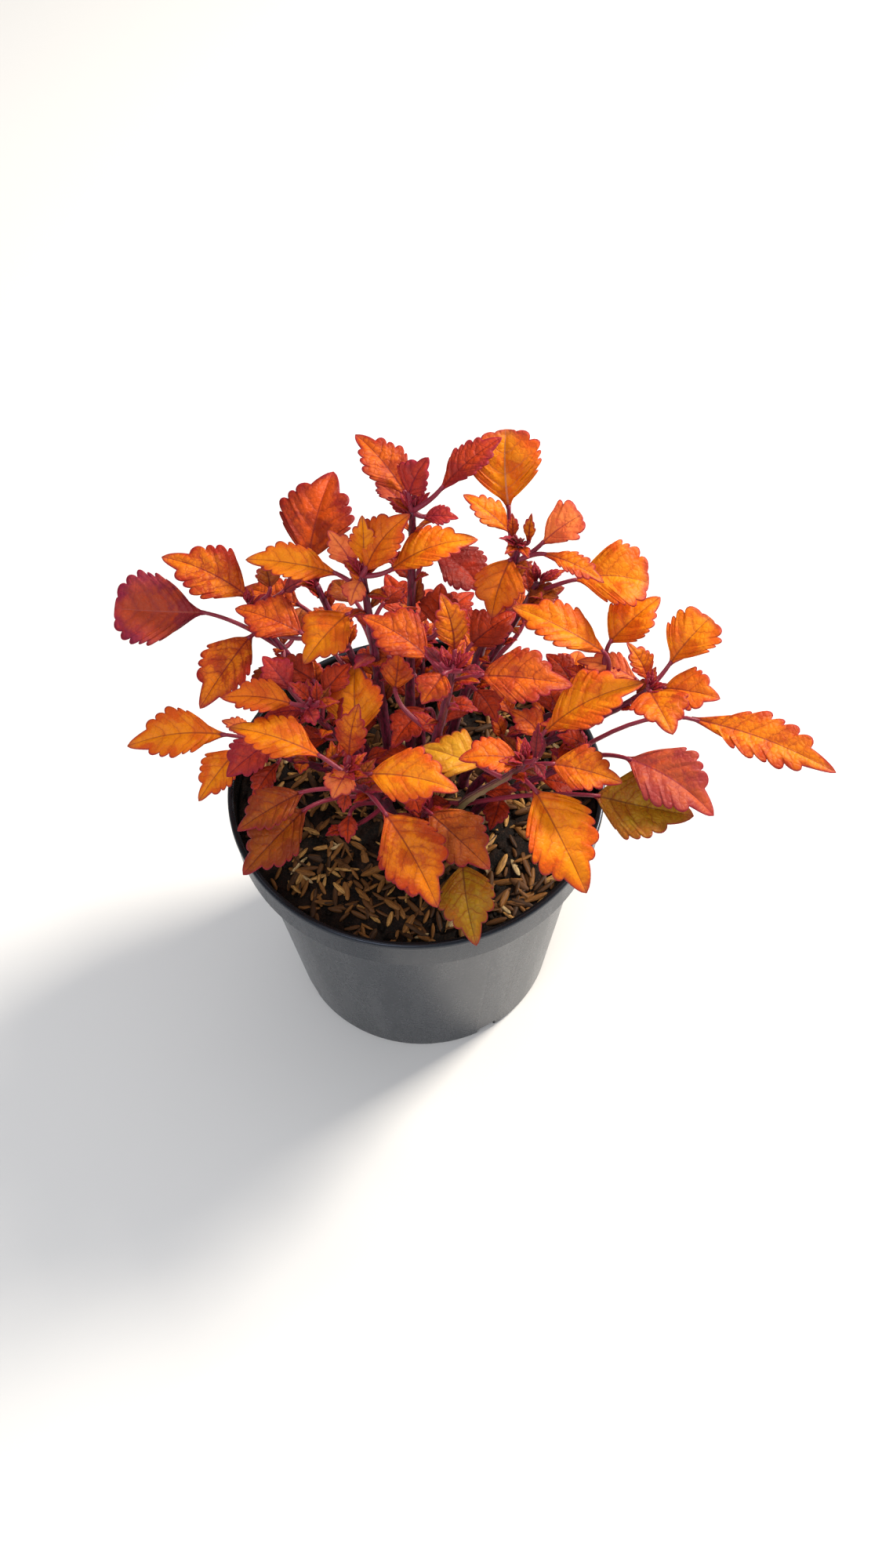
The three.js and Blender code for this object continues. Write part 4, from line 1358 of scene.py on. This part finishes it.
T = Tint
SHOOTS = [
    Shoot("back", (-2, 15), (3, 24, 248), [
        Leaf(-2, 4, 4, 130, 20, 28, 16, T.FLAME),
        Leaf(-1, 2, 6, 35, 55, 15, 15, T.ROSE),
        Leaf(10, 1, 9, 30, 25, 27, 13, T.RED),
        Leaf(4, -1, -2, -10, 5, 12, 9, T.ROSE),
        Leaf(-3, 5, -2, 131, 0, 15, 9, T.PINK),
        Leaf(-2, 1, -2, 162, 30, 7, 5, T.ROSE),
        Leaf(8, 11, -33, -36, -24, 24, 20, T.DEEP),
        Leaf(8, -8, -53, 85, 26, 17, 14, T.RUST),
    ], [LowerLeaf(0.5, 75, 24), LowerLeaf(0.38, 120, 18)]),
    Shoot("back_right", (13, 13), (40, 19, 235), [
        Leaf(-3, 17, 0, 92, 52, 28, 24, T.GOLD, pale_veins=True, blunt=True),
        Leaf(-3, 6, 0, 151, 29, 21, 11, T.GOLD),
        Leaf(-3, -1, -6, -116, -40, 22, 18, T.ORANGE),
        Leaf(8, 2, -2, 20, 30, 17, 16, T.CORAL, blunt=True),
        Leaf(8, -1, -4, -27, -10, 24, 9, T.AMBER),
        Leaf(3, -1, 2, 75, 70, 11, 4, T.EMBER),
        Leaf(-2, 3, 0, 95, 60, 9, 4, T.FLAME),
    ], [LowerLeaf(0.62, 150, 14), LowerLeaf(0.42, -60, 16)]),
    Shoot("mid_left", (-10, 7), (-15, 12, 229), [
        Leaf(-9, 3, -2, 170, 5, 33, 16, T.GOLD),
        Leaf(9, -1, 3, 15, 10, 33, 17, T.GOLD),
        Leaf(1, -1, 4, 34, 39, 25, 19, T.ORANGE),
        Leaf(0, 2, 3, 86, 60, 18, 9, T.GOLD),
        Leaf(-1, 0, -2, -115, -25, 10, 9, T.CORAL),
        Leaf(-3, 4, 0, 130, 30, 16, 11, T.CORAL),
        Leaf(-4, 10, -25, 129, 0, 14, 12, T.BROWN),
        Leaf(6, 9, -25, 38, 5, 10, 9, T.RUST),
        Leaf(-7, 9, -30, -136, -20, 25, 21, T.GOLD),
        Leaf(7, 0, -45, -165, 0, 12, 9, T.FLAME),
    ], [LowerLeaf(0.5, 200, 20), LowerLeaf(0.35, 140, 18)]),
    Shoot("far_left", (-17, 13), (-61, 39, 184), [
        Leaf(0, 3, 2, 160, 18, 36, 21, T.EMBER, 0.1, -15),
        Leaf(-17, 1, -4, 176, 2, 35, 29, T.WINE, 0.04, -20, blunt=True),
        Leaf(1, -11, -4, -128, -20, 34, 21, T.EMBER),
        Leaf(21, -16, 2, 156, 5, 28, 20, T.FLAME),
        Leaf(9, 1, 9, 106, 40, 10, 9, T.BROWN),
        Leaf(14, -1, 9, 8, 30, 11, 7, T.MAGENTA),
        Leaf(3, -2, 2, -40, 30, 6, 4, T.MAGENTA),
    ], [LowerLeaf(0.7, 80, 20, T.BROWN), LowerLeaf(0.7, 240, 18, T.BROWN)]),
    Shoot("left", (-12, -2), (-37, -14, 190), [
        Leaf(-5, -1, 2, 175, 5, 26, 15, T.ORANGE),
        Leaf(-7, 9, -2, 130, 20, 16, 12, T.ROSE),
        Leaf(2, 14, -4, 145, 0, 20, 14, T.RUST),
        Leaf(1, -2, 6, 162, 45, 10, 6, T.RUST),
        Leaf(4, -4, 7, 88, 60, 8, 4, T.RUST),
        Leaf(5, 8, -4, 44, 20, 15, 11, T.RUST),
        Leaf(-2, -1, -2, -175, -10, 15, 10, T.ROSE),
        Leaf(0, -3, 2, -66, -20, 7, 6, T.ROSE),
        Leaf(17, 2, -20, 91, 35, 25, 21, T.GOLD),
    ], [LowerLeaf(0.6, 180, 18), LowerLeaf(0.45, 90, 18)]),
    Shoot("front_left", (-9, -14), (-24, -40, 184), [
        Leaf(-8, 7, 0, 163, 10, 35, 17, T.GOLD),
        Leaf(8, -1, 0, -15, 0, 33, 20, T.GOLD, 0.08, 10),
        Leaf(1, -1, 2, -121, -20, 11, 12, T.CORAL),
        Leaf(2, 2, 6, 66, 60, 21, 11, T.EMBER),
        Leaf(13, -5, -18, -56, -35, 40, 24, T.AMBER),
        Leaf(0, 0, -12, -108, -50, 8, 5, T.RUST),
        Leaf(-1, 12, -44, -96, -35, 11, 7, T.RUST),
        Leaf(-3, 9, -49, -159, 0, 8, 5, T.RUST),
        Leaf(-17, 9, -24, -155, -15, 28, 17, T.BROWN),
        Leaf(-16, 5, -29, -142, -25, 34, 22, T.BROWN),
    ], []),
    Shoot("low_left", (-20, 3), (-58, -3, 150), [
        Leaf(-14, 7, 0, -174, 0, 38, 19, T.GOLD, 0.06, -12),
        Leaf(-9, 0, 0, -131, -20, 25, 15, T.GOLD),
        Leaf(-2, 1, 8, 155, 5, 14, 7, T.CORAL),
        Leaf(4, -3, 8, -145, -15, 21, 17, T.ROSE),
        Leaf(6, -3, -5, -133, -30, 18, 9, T.RUST),
    ], [LowerLeaf(0.75, 100, 20), LowerLeaf(0.5, 40, 16)]),
    Shoot("low_front", (1, -22), (4, -33, 148), [
        Leaf(1, -2, 2, -41, -20, 31, 23, T.COPPER),
        Leaf(13, -12, -18, -82, -20, 32, 20, T.OLIVE),
        Leaf(-14, -6, -3, -71, -20, 27, 18, T.FLAME),
        Leaf(-6, 2, 12, -61, -40, 10, 9, T.RUST),
    ], [LowerLeaf(0.5, 350, 12)]),
    Shoot("centre", (4, -6), (15, -26, 222), [
        Leaf(-8, 6, 0, 149, 15, 27, 19, T.FLAME),
        Leaf(1, 3, 6, 110, 54, 21, 11, T.EMBER),
        Leaf(9, -1, -2, -10, 0, 32, 20, T.FLAME, 0.08, 10),
        Leaf(-3, -3, 2, -128, -15, 13, 13, T.FLAME),
        Leaf(3, -2, 2, -12, 10, 8, 4, T.MAGENTA),
        Leaf(-4, 0, 4, 140, 30, 8, 4, T.MAGENTA),
        Leaf(7, 25, -17, 31, 16, 20, 17, T.RUST),
        Leaf(-21, 26, -42, 80, 40, 14, 12, T.FLAME),
        Leaf(-9, 28, -57, -133, -10, 21, 14, T.RUST),
    ], [LowerLeaf(0.75, -10, 9), LowerLeaf(0.5, 60, 18), LowerLeaf(0.35, 0, 16), LowerLeaf(0.35, 180, 16)]),
    Shoot("front_right", (13, -16), (40, -38, 184), [
        Leaf(-2, 1, 0, -176, 10, 22, 15, T.ORANGE),
        Leaf(9, -1, 0, -17, -5, 26, 17, T.AMBER, 0.08, 10),
        Leaf(3, -6, -8, -59, -35, 42, 27, T.GOLD),
        Leaf(3, -3, 6, 76, 70, 15, 4, T.MAGENTA),
        Leaf(3, -2, 2, -57, -20, 7, 4, T.MAGENTA),
        Leaf(-16, 7, -11, 163, 10, 22, 20, T.YELLOW),
        Leaf(7, 15, -4, 14, 24, 41, 21, T.GOLD),
        Leaf(26, 2, -25, -13, -5, 37, 27, T.OLIVE, 0.04, 15),
        Leaf(8, 25, -19, 143, 20, 16, 12, T.FLAME),
    ], [LowerLeaf(0.4, 10, 14), LowerLeaf(0.3, 190, 12)], 0.8, 0.8),
    Shoot("far_right", (21, -3), (85, -15, 194), [
        Leaf(8, 8, 4, 38, 32, 22, 19, T.GOLD, blunt=True),
        Leaf(5, -1, 2, -24, 10, 21, 17, T.ORANGE, 0.08, 10),
        Leaf(0, -2, 2, -74, 5, 22, 20, T.AMBER),
        Leaf(0, 2, 3, 133, 45, 16, 9, T.EMBER),
    ], [LowerLeaf(0.6, 100, 18), LowerLeaf(0.6, 280, 14), LowerLeaf(0.4, 190, 14)]),
    Shoot("right", (19, 6), (72, 4, 176), [
        Leaf(0, 3, 12, 155, 15, 39, 19, T.GOLD),
        Leaf(2, 10, 10, 32, 26, 25, 19, T.GOLD),
        Leaf(12, -2, 2, 155, 0, 24, 12, T.CORAL),
        Leaf(-12, 5, -6, 132, 20, 14, 11, T.RUST),
        Leaf(-5, 2, -3, 165, 30, 12, 7, T.RUST),
    ], [LowerLeaf(0.7, 70, 24, T.ORANGE), LowerLeaf(0.5, 110, 20, T.FLAME)]),
    Shoot("low_right", (22, -12), (66, -20, 164), [
        Leaf(37, 9, 7, -26, -3, 56, 17, T.AMBER, 0.02, 12),
        Leaf(12, -6, 4, -33, -15, 38, 24, T.PINK, 0.08, 10),
        Leaf(-2, 1, 2, 165, 20, 12, 8, T.RUST),
    ], [LowerLeaf(0.55, 350, 16), LowerLeaf(0.4, 250, 14)]),
    Shoot("rear_right", (12, 22), (48, 34, 198), [
        Leaf(13, -2, 3, -9, 4, 28, 25, T.GOLD, 0.08, 15, blunt=True),
        Leaf(-4, -7, -6, 25, 12, 16, 12, T.BROWN),
        Leaf(-4, 10, -26, 120, -15, 26, 15, T.ORANGE),
        Leaf(-14, 2, -30, 170, -10, 24, 15, T.RUST),
    ], [LowerLeaf(0.6, 60, 26, T.FLAME), LowerLeaf(0.45, 75, 20)]),
    Shoot("rear_left", (-10, 22), (-34, 38, 196), [
        Leaf(-3, 6, 7, 72, 24, 36, 28, T.SCARLET),
        Leaf(-8, 6, -18, 150, -10, 28, 16, T.FLAME),
        Leaf(2, 6, -36, 80, -20, 26, 16, T.FLAME),
    ], [LowerLeaf(0.5, 120, 26, T.ORANGE), LowerLeaf(0.4, 150, 18)]),
    Shoot("rear", (2, 28), (4, 46, 152), [
        Leaf(-4, 5, 4, 115, 20, 24, 15, T.RUST),
        Leaf(5, 5, 0, 50, 0, 26, 15, T.RUST),
        Leaf(-8, 4, -18, 165, -20, 28, 17, T.FLAME),
        Leaf(8, 5, -20, 25, -20, 28, 17, T.FLAME),
        Leaf(0, 6, -14, 92, -25, 30, 18, T.ORANGE),
    ], [LowerLeaf(0.3, 120, 22)]),
]


# ---------------------------------------------------------------- studio


@dataclass(frozen=True)
class Studio:
    """Pale floor, soft light and the camera."""

    floor_half: float = 4.0
    camera_place: tuple[float, float, float] = (0.0099, -0.3958, 0.6794)
    pitch: float = 54.8
    roll: float = -1.8
    lens: float = 39.6
    sensor: float = 36.0
    nearest: float = 0.01
    aim: tuple[float, float, float] = (0.0, 0.0, 0.15)
    sky: float = 0.4

    def floor(self) -> None:
        """Lays the floor just under the pot."""
        bm = bmesh.new()
        bmesh.ops.create_grid(bm, x_segments=1, y_segments=1, size=self.floor_half)
        paper = linked("studio_floor", bm)
        paper.data.materials.append(FloorFinish().material())

    def lamp(self, name: str, place: tuple[float, float, float], size: float, power: float, colour: str) -> None:
        """Hangs a soft square light that points at the plant.

        Args:
            name: the light's name.
            place: where it hangs, in metres.
            size: its side, in metres.
            power: its power in watts.
            colour: its colour, as six hexadecimal digits.
        """
        light = bpy.data.lights.new(name, "AREA")
        light.shape = "SQUARE"
        light.size = size
        light.energy = power
        light.color = linear(colour)[:3]
        lamp = bpy.data.objects.new(name, light)
        beam = Vector(self.aim) - Vector(place)
        lamp.matrix_world = Matrix.Translation(place) @ beam.to_track_quat("-Z", "Y").to_matrix().to_4x4()
        bpy.context.scene.collection.objects.link(lamp)

    def world(self) -> None:
        """Sets an even pale surrounding."""
        world = bpy.data.worlds.new("studio_air")
        world.use_nodes = True
        back = world.node_tree.nodes["Background"]
        back.inputs[0].default_value = linear("f4f6fa")
        back.inputs[1].default_value = self.sky
        bpy.context.scene.world = world

    def camera(self) -> None:
        """Sets the camera at its place and angle."""
        data = bpy.data.cameras.new("camera")
        data.lens = self.lens
        data.sensor_width = self.sensor
        data.clip_start = self.nearest
        camera = bpy.data.objects.new("camera", data)
        tilt = Matrix.Rotation(radians(90 - self.pitch), 4, "X")
        turn = Matrix.Rotation(radians(self.roll), 4, "Z")
        camera.matrix_world = Matrix.Translation(self.camera_place) @ tilt @ turn
        bpy.context.scene.collection.objects.link(camera)
        bpy.context.scene.camera = camera

    def build(self) -> None:
        """Sets up the whole studio."""
        bpy.context.scene.view_settings.view_transform = "Standard"
        self.floor()
        self.world()
        self.lamp("key", (0.95, 0.55, 1.0), 0.35, 32.0, "fff6ea")
        self.lamp("fill", (-0.5, -1.1, 1.3), 0.9, 14.0, "fafaff")
        self.lamp("top", (-0.1, 0.4, 1.6), 1.2, 5.0, "fcfcff")
        self.camera()


def main() -> None:
    """Builds the studio, the pot, the mix and every leafy stem."""
    Studio().build()
    pot = NurseryPot()
    pot.build()
    PottingMix(pot).build()
    finishes = [LeafFinish().material(), StemFinish().material()]
    for number, shoot in enumerate(SHOOTS):
        LeafyStem(shoot, number).build(finishes)


if __name__ == "__main__":
    main()
